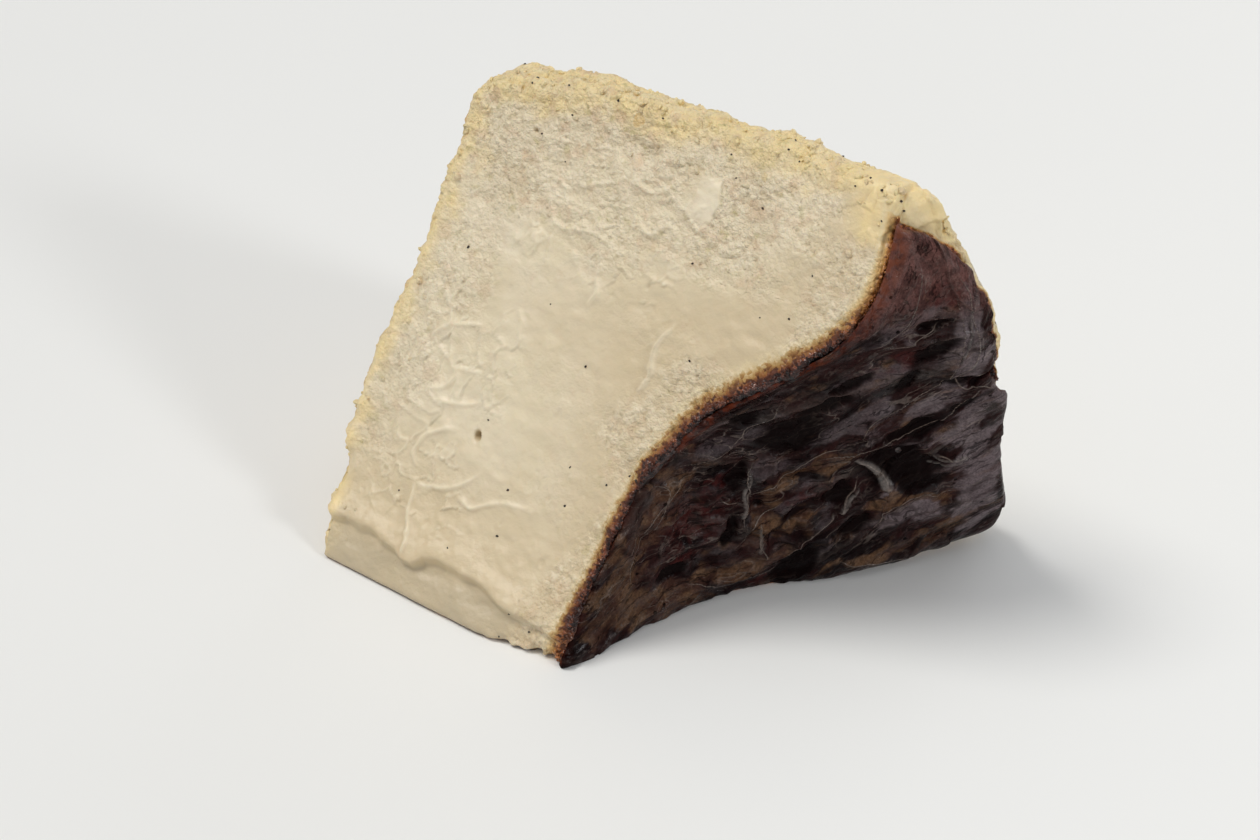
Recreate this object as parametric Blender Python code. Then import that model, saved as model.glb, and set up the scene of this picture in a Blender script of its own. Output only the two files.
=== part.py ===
"""One cut slice of basque cheesecake, standing on its outer rim with the cut tip up.

X runs along the cake's own axis, from the baked base at -X to the burnt top at +X.
Y runs across the slice, from the front cut face at -Y to the back one at +Y.
Z is up, from the rim that the slice stands on to the ridge where the two cuts meet.
The slice is one solid: a cube, divided into a fine grid, whose points are carried to
the rounded wedge and then raised or sunk a little for crumb and crust.
"""

import math

import bmesh
import bpy
import numpy as np

MM = 0.001

# Driving dimensions
FOOT_WIDTH = 60 * MM        # from cut face to cut face, at the rim
TIP_HEIGHT = 64.9 * MM      # from the rim to the ridge
FRONT_LEAN = math.radians(29.0)     # how far each cut face leans in on its way up
BACK_LEAN = math.radians(17.6)
BASE_X = -36 * MM           # where the baked base lies

# The cake rose unevenly. How tall it is, base to burnt top, at each height over the rim
TOP_AT_FRONT = ((0, 40), (14, 41.2), (26, 44), (33, 48.6), (39, 55.5), (46, 62.5), (52, 65.5),
                (60, 66.2), (66, 66.6))
TOP_AT_BACK = ((0, 69.5), (10, 72.4), (25, 74), (40, 75.2), (50, 75.4), (58, 73.6), (66, 69.5))
BACK_SHARE = 0.62           # how much of the rise towards the back comes late

# The ridge sags at the base, falls off behind, and drops at the burnt end
RIDGE_SAG = 6.6 * MM
RIDGE_SAG_REACH = 19 * MM
RIDGE_BACK_FALL = 1.2 * MM
RIDGE_END = 60 * MM
RIDGE_END_FALL = 5 * MM
RIDGE_END_REACH = 14 * MM
RIDGE_CRUMBLE = 0.5 * MM    # the thin ridge is broken by the knife
RIDGE_CELL = 4 * MM

# Where soft cake bulges out: the base, and the foot of each cut face
BELLY = 2.8 * MM
BELLY_HEIGHT = 20 * MM
BELLY_REACH = 13 * MM
HEEL_TUCK = 0.6 * MM
HEEL_REACH = 5 * MM
FRONT_FOOT = 2.4 * MM
FRONT_FOOT_HEIGHT = 3 * MM
FRONT_FOOT_REACH = 5 * MM
BACK_FOOT = 1.8 * MM
BACK_FOOT_HEIGHT = 7 * MM
BACK_FOOT_REACH = 6 * MM

# Under the burnt top, where its skin lifts off the rim
LIFT = 0.09
LIFT_AT = 0.42
LIFT_WIDTH = 0.2
LIFT_HEIGHT = 6 * MM

# Edges
CUT_ROUND = 1.2 * MM        # a knife's edge in soft cake
SHOULDER_ROUND = 5.5 * MM   # where the burnt top rolls over to the back, below the tip
SHOULDER_TOP = 42 * MM
SHOULDER_FADE = 14 * MM
MOST_ROUND = 0.36           # of the width, near the ridge

# Relief
CRUMB_BUMP = 0.35 * MM
CRUMB_CELL = 4.5 * MM
GRAIN_BUMP = 0.22 * MM
GRAIN_CELL = 2.2 * MM
BASE_BITE = 0.55 * MM       # the edge of the base is ragged
BASE_CELL = 3.2 * MM
FOLD_HEIGHT = 1.3 * MM
FOLD_CELL = 5 * MM
FOLD_BEND = 4 * MM
FOLD_BEND_CELL = 15 * MM
FOLD_STRETCH = 0.28         # a fold is this much slower along its length than across
FAN_Y = 8 * MM              # the folds fan out from a place over the tip
FAN_Z = 74 * MM
FAN_ARM = 46 * MM
RESTING_BAND = 3 * MM       # relief fades out this close over the flat foot
SLIM_HEIGHT = 40 * MM       # above this the slice gets thin, and its relief fades out
SLIM_REACH = 18 * MM

# Grid over the slice
CELLS = (30, 27, 31)        # along X, Y and Z
CROWDING = 0.38             # how much finer the grid is at the edges

NOISE_SIZE = 32


def clear_scene():
    for item in list(bpy.data.objects):
        bpy.data.objects.remove(item, do_unlink=True)


def smooth(value):
    """0 to 1 with a soft start and a soft end."""
    value = np.clip(value, 0, 1)
    return value * value * (3 - 2 * value)


def bump(value, centre, reach):
    """1 at the centre, fading to nothing a couple of reaches away."""
    return np.exp(-((value - centre) / reach) ** 2)


def curve_through(value, knots):
    """A smooth curve through knots in millimetres, read in metres."""
    at, height = np.array(knots, float).T * MM
    slope = np.gradient(height, at)
    i = np.clip(np.searchsorted(at, value) - 1, 0, len(at) - 2)
    step = at[i + 1] - at[i]
    u = np.clip((value - at[i]) / step, 0, 1)
    start = (1 + 2 * u) * (1 - u) ** 2 * height[i] + u * (1 - u) ** 2 * step * slope[i]
    end = u * u * (3 - 2 * u) * height[i + 1] + u * u * (u - 1) * step * slope[i + 1]
    return start + end


def top_height(across, z):
    """From base to burnt top: low at the front cut, high at the back one."""
    blend = BACK_SHARE * across ** 1.3 + (1 - BACK_SHARE) * smooth(across)
    blend = np.clip(blend * 1.05, 0, 1)
    blend = blend - LIFT * bump(z, 0, LIFT_HEIGHT) * bump(across, LIFT_AT, LIFT_WIDTH)
    front = curve_through(z, TOP_AT_FRONT)
    return front + blend * (curve_through(z, TOP_AT_BACK) - front)


def noise(points, cell, seed):
    """Soft random values from -1 to 1, blended between the corners of a cubic lattice."""
    table = np.random.default_rng(seed).uniform(-1, 1, (NOISE_SIZE,) * 3)
    scaled = points / cell + NOISE_SIZE / 2
    corner = np.floor(scaled).astype(int)
    share = smooth(scaled - corner)
    total = np.zeros(len(points))
    for step in np.ndindex(2, 2, 2):
        weight = np.where(step, share, 1 - share).prod(axis=1)
        i, j, k = ((corner + step) % NOISE_SIZE).T
        total += weight * table[i, j, k]
    return total


def ridge_height(x, across):
    """Z of the ridge. It crumbles along its length, and hardly across its narrow top."""
    sag = RIDGE_SAG * np.exp(-np.maximum(x, 0) / RIDGE_SAG_REACH)
    end = RIDGE_END_FALL * np.clip((x - RIDGE_END) / RIDGE_END_REACH, 0, 1) ** 2
    crumble = RIDGE_CRUMBLE * noise(np.stack([x, 0 * x, 0 * x], -1), RIDGE_CELL, 4)
    return TIP_HEIGHT - sag - end + crumble - RIDGE_BACK_FALL * across * across


def front_cut(x, z):
    """Y of the front cut face. It bulges at the foot, less so towards the burnt top."""
    foot = FRONT_FOOT * bump(z, FRONT_FOOT_HEIGHT, FRONT_FOOT_REACH)
    foot = foot * smooth((46 * MM - x) / (20 * MM))
    return -FOOT_WIDTH / 2 + z * math.tan(FRONT_LEAN) - foot


def back_cut(x, z):
    """Y of the back cut face. It bulges at the foot, under the burnt top."""
    foot = BACK_FOOT * bump(z, BACK_FOOT_HEIGHT, BACK_FOOT_REACH)
    foot = foot * smooth((x - 20 * MM) / (30 * MM))
    return FOOT_WIDTH / 2 - z * math.tan(BACK_LEAN) + foot


def base_bulge(z):
    return BELLY * bump(z, BELLY_HEIGHT, BELLY_REACH) - HEEL_TUCK * bump(z, 0, HEEL_REACH)


def wedge(along, across, up):
    """Points of the rounded wedge, for grid places from 0 to 1 along, across and up it.

    The block between the faces is shrunk by the edge radius, and each point outside
    the shrunk block is set one radius from its nearest point in it.
    """
    z = up * TIP_HEIGHT
    for _ in range(2):
        x = along * top_height(across, z)
        z = up * ridge_height(x, across)
    length = top_height(across, z)
    width = back_cut(x, z) - front_cut(x, z)
    height = ridge_height(x, across)
    shoulder = smooth((across - 0.4) / 0.6) * smooth((along - 0.6) / 0.4)
    shoulder = shoulder * (1 - smooth((z - SHOULDER_TOP) / SHOULDER_FADE))
    radius = CUT_ROUND + (SHOULDER_ROUND - CUT_ROUND) * shoulder
    radius = np.minimum(radius, MOST_ROUND * width)
    place = np.stack([along * length, across * width, up * height], -1)
    sides = np.stack([length, width, height], -1)
    core = np.clip(place, radius[:, None], sides - radius[:, None])
    away = place - core
    away = away / np.maximum(np.linalg.norm(away, axis=1, keepdims=True), 1e-9)
    x, y, z = (core + away * radius[:, None]).T
    y = y + front_cut(x, z)
    x = x - base_bulge(z) * (1 - along) + BASE_X
    return np.stack([x, y, z], -1)


def crust_folds(points):
    """Long soft folds in the burnt skin, which fan out from over the tip."""
    y, z = points[:, 1], points[:, 2]
    flat = np.stack([y, z, 0 * z], -1)
    side = y - FAN_Y + FOLD_BEND * noise(flat, FOLD_BEND_CELL, 11)
    down = FAN_Z - z
    angle = np.arctan2(side, down) * FAN_ARM
    reach = np.hypot(side, down) * FOLD_STRETCH
    along_fold = np.stack([angle, reach, 0 * z], -1)
    return 0.4 - 1.5 * np.abs(noise(along_fold, FOLD_CELL, 12))


def relief(points, along, across, up):
    """How far each point is raised or sunk, crumb on the cuts and folds on the burnt top."""
    z = points[:, 2]
    crumb = CRUMB_BUMP * noise(points, CRUMB_CELL, 1)
    crumb = crumb + GRAIN_BUMP * noise(points, GRAIN_CELL, 2)
    ragged = smooth((0.1 - along) / 0.1)
    crumb = crumb + BASE_BITE * ragged * noise(points, BASE_CELL, 3)
    burnt = smooth((along - 0.93) / 0.07) * smooth(across / 0.04)
    height = crumb + burnt * (FOLD_HEIGHT * crust_folds(points) - crumb)
    slim = 1 - smooth((z - SLIM_HEIGHT) / SLIM_REACH)
    return height * slim * smooth(z / RESTING_BAND) * (up > 0)


def cheesecake_material():
    """Baked cream cheese: pale warm ivory and barely shiny."""
    material = bpy.data.materials.new("baked_cream_cheese")
    material.use_nodes = True
    shader = material.node_tree.nodes["Principled BSDF"]
    shader.inputs["Base Color"].default_value = (0.70, 0.61, 0.44, 1)
    shader.inputs["Roughness"].default_value = 0.6
    shader.inputs["Metallic"].default_value = 0.0
    return material


def burnt_material():
    """The burnt top's skin: almost black brown and glossy."""
    material = bpy.data.materials.new("burnt_top")
    material.use_nodes = True
    shader = material.node_tree.nodes["Principled BSDF"]
    shader.inputs["Base Color"].default_value = (0.028, 0.015, 0.013, 1)
    shader.inputs["Roughness"].default_value = 0.3
    shader.inputs["Metallic"].default_value = 0.0
    return material


def divided_cube(name):
    """A cube from 0 to 1, cut into the grid's cells along each axis in turn."""
    shape = bmesh.new()
    bmesh.ops.create_cube(shape, size=1)
    bmesh.ops.translate(shape, verts=shape.verts, vec=(0.5, 0.5, 0.5))
    for axis, cells in enumerate(CELLS):
        edges = [edge for edge in shape.edges
                 if abs(edge.verts[0].co[axis] - edge.verts[1].co[axis]) > 0.5]
        bmesh.ops.subdivide_edges(shape, edges=edges, cuts=cells - 1)
    mesh = bpy.data.meshes.new(name)
    shape.to_mesh(mesh)
    shape.free()
    return mesh


def read_points(mesh, what):
    values = np.empty(len(mesh.vertices) * 3, np.float32)
    mesh.vertices.foreach_get(what, values)
    return values.reshape(-1, 3).astype(float)


def write_points(mesh, points):
    mesh.vertices.foreach_set("co", points.astype(np.float32).ravel())
    mesh.update()


def shape_slice(mesh):
    """Carries the cube's grid to the wedge, then adds the relief along the surface's normals."""
    grid = read_points(mesh, "co")
    grid = grid - CROWDING * np.sin(2 * math.pi * grid) / (2 * math.pi)
    along, across, up = np.clip(np.round(grid, 6), 0, 1).T
    points = wedge(along, across, up)
    write_points(mesh, points)
    height = relief(points, along, across, up)
    points = points + read_points(mesh, "normal") * height[:, None]
    points[:, 2] = np.maximum(points[:, 2], 0)
    write_points(mesh, points)
    return along


def paint_burnt_top(mesh, along):
    """Gives the burnt top's faces the second material."""
    for face in mesh.polygons:
        if min(along[i] for i in face.vertices) > 0.999:
            face.material_index = 1


def build_slice(collection):
    mesh = divided_cube("cheesecake_slice")
    along = shape_slice(mesh)
    mesh.materials.append(cheesecake_material())
    mesh.materials.append(burnt_material())
    paint_burnt_top(mesh, along)
    mesh.shade_smooth()
    item = bpy.data.objects.new("cheesecake_slice", mesh)
    collection.objects.link(item)
    return item


def main():
    clear_scene()
    collection = bpy.data.collections.new("basque_cheesecake_slice")
    bpy.context.scene.collection.children.link(collection)
    build_slice(collection)


main()
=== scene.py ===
# %% [markdown]
# # A slice of basque cheesecake
#
# This lesson dresses a plain solid of a cake slice until it looks baked, cut and burnt.
# The slice stands on its outer rim with the cut tip up. Its front cut faces us, and its
# burnt top is turned to the right. The solid is loaded first and is never moved. Every
# surface we make follows the same formulas as the solid, only with far more points.

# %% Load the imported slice
import math
import bpy
import numpy as np
from mathutils import Matrix


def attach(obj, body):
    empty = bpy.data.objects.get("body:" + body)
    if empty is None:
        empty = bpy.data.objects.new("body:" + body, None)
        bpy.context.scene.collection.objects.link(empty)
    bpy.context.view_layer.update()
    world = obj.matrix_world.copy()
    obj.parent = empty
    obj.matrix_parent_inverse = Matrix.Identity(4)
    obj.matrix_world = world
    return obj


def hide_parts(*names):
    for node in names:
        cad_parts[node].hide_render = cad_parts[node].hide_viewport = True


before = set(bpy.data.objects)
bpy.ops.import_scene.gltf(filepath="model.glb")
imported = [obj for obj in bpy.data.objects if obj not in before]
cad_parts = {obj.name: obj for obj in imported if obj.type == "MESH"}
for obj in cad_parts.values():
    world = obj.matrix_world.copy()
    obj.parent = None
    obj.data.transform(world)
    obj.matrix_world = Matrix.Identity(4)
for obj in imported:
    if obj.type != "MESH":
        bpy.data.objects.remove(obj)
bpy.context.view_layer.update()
MM = 0.001

# %% [markdown]
# ## The form of the slice
#
# Cheesecake cut with a knife is a wedge with two nearly flat cut faces, and it sags a
# little under its own weight. We could sculpt it, but a formula is easier to read and to
# change. Each point has three addresses from 0 to 1: `along` the cake's axis, from the
# baked base to the burnt top, `across` the slice, from front cut to back cut, and `up`,
# from the rim to the tip. A few measures turn these addresses into a place.

# %% Measures of the wedge
FOOT_WIDTH = 60 * MM
TIP_HEIGHT = 64.9 * MM
FRONT_LEAN = math.radians(29.0)
BACK_LEAN = math.radians(17.6)
BASE_X = -36 * MM
# Heights in mm, each with the length from base to burnt top there.
TOP_AT_FRONT = ((0, 40), (14, 41.2), (26, 44), (33, 48.6), (39, 55.5), (46, 62.5), (52, 65.2),
                (60, 64.8), (66, 63.4))
TOP_AT_BACK = ((0, 69.5), (10, 72.4), (25, 74), (40, 75.2), (47, 74.4), (52, 71.2), (58, 68.2),
               (66, 65))
CUT_ROUND = 1.2 * MM
SHOULDER_ROUND = 5.5 * MM
print("wedge:", round(FOOT_WIDTH / MM), "mm wide at the foot,", round(TIP_HEIGHT / MM, 1), "mm tall")


# %% Soft steps, bumps and curves
def smooth(value):
    """0 to 1 with a soft start and a soft end: 3v^2 - 2v^3 of the clipped value."""
    value = np.clip(value, 0, 1)
    return value * value * (3 - 2 * value)


def bump(value, centre, reach):
    """A bell: 1 at the centre, e^-1 one reach away."""
    return np.exp(-((value - centre) / reach) ** 2)


def cubic(u, i, step, values, slope):
    """From value i to the next one with the slopes of both, at the share u of the step."""
    start = (1 + 2 * u) * (1 - u) ** 2 * values[i] + u * (1 - u) ** 2 * step * slope[i]
    end = u * u * (3 - 2 * u) * values[i + 1] + u * u * (u - 1) * step * slope[i + 1]
    return start + end


def curve_through(value, knots):
    """A cubic through knots in mm, each piece with the slopes of its neighbours."""
    at, height = np.array(knots, float).T * MM
    slope = np.gradient(height, at)
    i = np.clip(np.searchsorted(at, value) - 1, 0, len(at) - 2)
    step = at[i + 1] - at[i]
    return cubic(np.clip((value - at[i]) / step, 0, 1), i, step, height, slope)


low = float(curve_through(30 * MM, TOP_AT_FRONT)) / MM
print("cake is", round(low, 1), "mm tall 30 mm up the front")


# %% Random values that never change between runs
NOISE_SIZE = 32


def noise(points, cell, seed):
    """Random values from -1 to 1 on a cubic lattice, blended softly between its corners."""
    table = np.random.default_rng(seed).uniform(-1, 1, (NOISE_SIZE,) * 3)
    scaled = points / cell + NOISE_SIZE / 2
    corner = np.floor(scaled).astype(int)
    share = smooth(scaled - corner)
    total = np.zeros(len(points))
    for step in np.ndindex(2, 2, 2):
        weight = np.where(step, share, 1 - share).prod(axis=1)
        i, j, k = ((corner + step) % NOISE_SIZE).T
        total += weight * table[i, j, k]
    return total


def cells(points, cell, seed):
    """Scattered seeds, one in each cube of a lattice. Gives the distance to the nearest
    seed, the distance to the next one, both in cells, and the nearest seed's own number."""
    table = np.random.default_rng(seed).uniform(0, 1, (NOISE_SIZE, NOISE_SIZE, NOISE_SIZE, 4))
    scaled = points / cell + NOISE_SIZE / 2
    corner = np.floor(scaled).astype(int)
    first = np.full(len(points), 9.0)
    second = first.copy()
    owner = np.zeros(len(points))
    for step in np.ndindex(3, 3, 3):
        cube = corner + step - 1
        i, j, k = (cube % NOISE_SIZE).T
        found = table[i, j, k]
        distance = np.linalg.norm(cube + found[:, :3] - scaled, axis=1)
        nearer = distance < first
        second = np.where(nearer, first, np.minimum(second, distance))
        owner = np.where(nearer, found[:, 3], owner)
        first = np.where(nearer, distance, first)
    return first, second, owner


print("noise at the origin:", np.round(noise(np.zeros((1, 3)), MM, 1), 3))

# %% [markdown]
# The cake rose unevenly: it is 40 mm tall at the rim in front and 70 mm behind, so the
# burnt top slants. Rounded edges come from a shrunken core: each point is set one
# radius away from the nearest point of the core, as if a ball rolled round the block.


# %% The wedge
def top_height(across, z):
    """Base to burnt top: the front curve, blended to the back one as we go across."""
    blend = np.clip((0.62 * across ** 1.3 + 0.38 * smooth(across)) * 1.05, 0, 1)
    blend = blend - 0.09 * bump(z, 0, 6 * MM) * bump(across, 0.42, 0.2)
    front = curve_through(z, TOP_AT_FRONT)
    return front + blend * (curve_through(z, TOP_AT_BACK) - front)


def ridge_height(x, across):
    """Z of the ridge: it sags at the base, drops at the burnt end and crumbles between."""
    sag = 6.6 * MM * np.exp(-np.maximum(x, 0) / (19 * MM))
    end = 5 * MM * np.clip((x - 60 * MM) / (14 * MM), 0, 1) ** 2
    crumble = 0.5 * MM * noise(np.stack([x, 0 * x, 0 * x], -1), 4 * MM, 4)
    dip = 0.6 * MM + 1.0 * MM * bump(x, 52 * MM, 4 * MM)
    return TIP_HEIGHT - sag - end + crumble - dip - 1.2 * MM * across * across


def front_cut(x, z):
    """Y of the front cut: a leaning plane that bulges at its foot."""
    foot = 2.4 * MM * bump(z, 3 * MM, 5 * MM) * smooth((46 * MM - x) / (20 * MM))
    return -FOOT_WIDTH / 2 + z * math.tan(FRONT_LEAN) - foot


def back_cut(x, z):
    """Y of the back cut: a leaning plane that bulges under the burnt top."""
    foot = 1.8 * MM * bump(z, 7 * MM, 6 * MM) * smooth((x - 20 * MM) / (30 * MM))
    return FOOT_WIDTH / 2 - z * math.tan(BACK_LEAN) + foot


def base_bulge(z):
    """How far the base stands out towards -X: a broad belly, drawn in at the foot."""
    return 2.8 * MM * bump(z, 20 * MM, 13 * MM) - 0.6 * MM * bump(z, 0, 5 * MM)


def wedge(along, across, up):
    """Places of the rounded wedge for addresses from 0 to 1, and its width there."""
    z = up * TIP_HEIGHT
    for _ in range(2):
        x = along * top_height(across, z)
        z = up * ridge_height(x, across)
    length = top_height(across, z)
    width = back_cut(x, z) - front_cut(x, z)
    height = ridge_height(x, across)
    shoulder = smooth((across - 0.4) / 0.6) * smooth((along - 0.6) / 0.4)
    shoulder = shoulder * (1 - smooth((z - 42 * MM) / (14 * MM)))
    radius = CUT_ROUND + (SHOULDER_ROUND - CUT_ROUND) * shoulder
    radius = np.minimum(radius, 0.36 * width)
    place = np.stack([along * length, across * width, up * height], -1)
    sides = np.stack([length, width, height], -1)
    core = np.clip(place, radius[:, None], sides - radius[:, None])
    away = place - core
    away = away / np.maximum(np.linalg.norm(away, axis=1, keepdims=True), 1e-9)
    x, y, z = (core + away * radius[:, None]).T
    y = y + front_cut(x, z)
    x = x - base_bulge(z) * (1 - along) + BASE_X
    return np.stack([x, y, z], -1), width


print("tip ridge at the middle, in mm:",
      np.round(wedge(*[np.array([v]) for v in (0.5, 0.5, 1.0)])[0] / MM, 1))

# %% [markdown]
# ## From arrays to meshes
#
# A closed block has six sides, and each one is a grid of two addresses. We write the
# addresses as whole numbers, so that the edges of neighbouring grids are exactly equal
# and `np.unique` welds them. The grid is crowded towards the edges, where it bends most.


# %% A closed block of grids
def grid_quads(index):
    """Four corners for each cell of a grid of point numbers, as rows."""
    corners = [index[:-1, :-1], index[1:, :-1], index[1:, 1:], index[:-1, 1:]]
    return np.stack(corners, -1).reshape(-1, 4)


def block_grid(n_along, n_across, n_up):
    """Whole-number addresses of a block's surface, and its quads with faces outwards."""
    counts = (n_along, n_across, n_up)
    points, quads = [], []
    for fixed in range(3):
        a, b = [axis for axis in range(3) if axis != fixed]
        for side in (0, 1):
            first = sum(len(p) for p in points)
            grid = np.zeros((counts[a] + 1, counts[b] + 1, 3), int)
            grid[..., a], grid[..., b] = np.meshgrid(
                np.arange(counts[a] + 1), np.arange(counts[b] + 1), indexing="ij")
            grid[..., fixed] = side * counts[fixed]
            index = np.arange(grid.shape[0] * grid.shape[1]).reshape(grid.shape[:2]) + first
            outward = (side == 1) != (fixed == 1)
            quads.append(grid_quads(index)[:, :: 1 if outward else -1])
            points.append(grid.reshape(-1, 3))
    welded, index = np.unique(np.concatenate(points), axis=0, return_inverse=True)
    return welded / np.array(counts), index.reshape(-1)[np.concatenate(quads)]


def crowded(address, amount):
    """Pulls addresses towards 0 and 1, by a sine that is nothing at the ends."""
    return address - amount * np.sin(2 * np.pi * address) / (2 * np.pi)


sample = block_grid(2, 2, 2)
print("a block of 2 x 2 x 2 cells has", len(sample[0]), "points and", len(sample[1]), "quads")


# %% A mesh from points and faces
def new_piece(name, points, faces):
    """A mesh object from an array of points and one of faces with equal corner counts."""
    mesh = bpy.data.meshes.new(name)
    count, corners = faces.shape
    mesh.vertices.add(len(points))
    mesh.vertices.foreach_set("co", points.astype(np.float32).ravel())
    mesh.loops.add(count * corners)
    mesh.loops.foreach_set("vertex_index", faces.astype(np.int32).ravel())
    mesh.polygons.add(count)
    mesh.polygons.foreach_set("loop_start", np.arange(0, count * corners, corners, dtype=np.int32))
    mesh.update(calc_edges=True)
    mesh.shade_smooth()
    piece = bpy.data.objects.new(name, mesh)
    bpy.context.scene.collection.objects.link(piece)
    return piece


def read_points(piece, what="co"):
    """The piece's points as rows of three, or their normals."""
    values = np.empty(len(piece.data.vertices) * 3, np.float32)
    piece.data.vertices.foreach_get(what, values)
    return values.reshape(-1, 3).astype(float)


def paint(piece, **masks):
    """Writes each named array of values to the points, for the materials to read."""
    for name, values in masks.items():
        layer = piece.data.attributes.new(name, "FLOAT", "POINT")
        layer.data.foreach_set("value", np.asarray(values, np.float32))


def paint_places(piece, name, values):
    """Writes a place of its own to each point, for textures that follow a flow."""
    layer = piece.data.attributes.new(name, "FLOAT_VECTOR", "POINT")
    layer.data.foreach_set("vector", values.astype(np.float32).ravel())


print("helpers ready")

# %% [markdown]
# ## Where the burnt skin lies
#
# The burnt skin covers the top, but the knife took it off along the back edge and at the
# tip, where pale cake shows. Under the skin the cake is browned a few millimetres deep.
# Both facts are distances, so we work them out as distances, in metres.

# %% Distance from the skin
SKIN_TOP = 60.5 * MM
# Heights in mm, each with how far across the top the skin reaches there, in thousandths.
SKIN_LIMIT = ((0, 1150), (24, 1120), (31, 985), (36, 915), (41.4, 893), (46, 880), (49.8, 880),
              (52.1, 866), (53.6, 838), (55.1, 785), (56.7, 680), (57.6, 600), (58.5, 470),
              (59.4, 310), (60.1, 110), (61, 20))


def skin_limit(z):
    """How far across the top the skin reaches, at each height."""
    return curve_through(z, SKIN_LIMIT) / MM / 1000


def below_top(points, across):
    """Depth under the burnt top, square to its slope."""
    z = points[:, 2]
    length = top_height(across, z)
    slope = (top_height(across, z + MM) - top_height(across, z - MM)) / (2 * MM)
    x = points[:, 0] - BASE_X
    return (length - x) / np.sqrt(1 + slope ** 2)


def beside_skin(points, across, width):
    """Distance past the skin's edge, over the bare back edge and the bare tip."""
    z = points[:, 2]
    ragged = 0.5 * MM * noise(points, 2.2 * MM, 21) + 0.25 * MM * noise(points, 0.8 * MM, 22)
    past_back = (across - skin_limit(z)) * width
    past_tip = z - SKIN_TOP
    return np.maximum(past_back, past_tip) + ragged


print("the skin stops", round(SKIN_TOP / MM, 1), "mm up")

# %% [markdown]
# ## The cut crumb
#
# Baked cream cheese is smooth where the knife smeared it and curdy where it tore: near
# the tip, along the base and close to the burnt top. We need a mask for that, a number
# from 0, smeared, to 1, torn. The torn crumb is rubble: lumps of three sizes with sharp
# valleys between them, made from the distance to scattered seeds. Bending the places
# with noise first keeps the lumps from looking like beads.

# %% Smeared or torn
def torn_mask(points, depth):
    """1 near the tip, the base and the burnt top, 0 in the smeared middle."""
    x, z = points[:, 0], points[:, 2]
    wander = 5 * MM * noise(points, 9 * MM, 31) + 2.5 * MM * noise(points, 3.5 * MM, 32)
    tip = smooth((z - 42 * MM + wander) / (9 * MM)) * (1 - 0.3 * smooth((x - 8 * MM) / (8 * MM)))
    base = smooth((-23 * MM - x + wander) / (7 * MM)) * smooth((z - 9 * MM) / (6 * MM))
    top = smooth((9 * MM - depth + 0.8 * wander) / (8 * MM))
    corner = smooth((x + 7 * MM + wander) / (7 * MM)) * smooth((16 * MM - z + wander) / (7 * MM))
    middle = 0.22 * smooth(0.4 + 1.6 * noise(points, 6 * MM, 30))
    return np.clip(np.maximum.reduce([tip, 0.6 * base, 0.85 * top, 0.7 * corner, middle]), 0, 1)


def curds(points, cell, seed):
    """Domes round the scattered seeds, with sharp valleys between: 1 - 2d^2."""
    return 1 - 2 * np.minimum(cells(points, cell, seed)[0], 1) ** 2


def bent(points, cell, seed, amount):
    """Places moved by noise in all three directions."""
    return points + amount * np.stack([noise(points, cell, seed + axis) for axis in range(3)], -1)


def holes(points, cell, seed, share, radius):
    """Round hollows at a share of the scattered seeds, from 0 outside to 1 at the centre."""
    first, _, owner = cells(points, cell, seed)
    size = radius / cell * (0.6 + 0.6 * owner / share)
    return np.where(owner < share, smooth(1.3 - first / size), 0)


def rubble(points):
    """Lumps of three sizes and crumbly noise, in mm, and the pits between some of them."""
    places = bent(points, 1.4 * MM, 601, 0.5 * MM)
    lumps = 0.2 * curds(places, 2.1 * MM, 61) + 0.23 * curds(places, 1.1 * MM, 62)
    lumps = lumps + 0.2 * curds(bent(points, 0.8 * MM, 604, 0.2 * MM), 0.66 * MM, 67)
    lumps = lumps * (0.75 + 0.5 * noise(points, 3 * MM, 29)) + 0.1 * noise(points, 0.8 * MM, 35)
    return lumps, holes(places, 2.4 * MM, 63, 0.22, 0.36 * MM)


print("rubble at the origin, in mm:", np.round(rubble(np.zeros((1, 3)))[0], 3))
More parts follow.
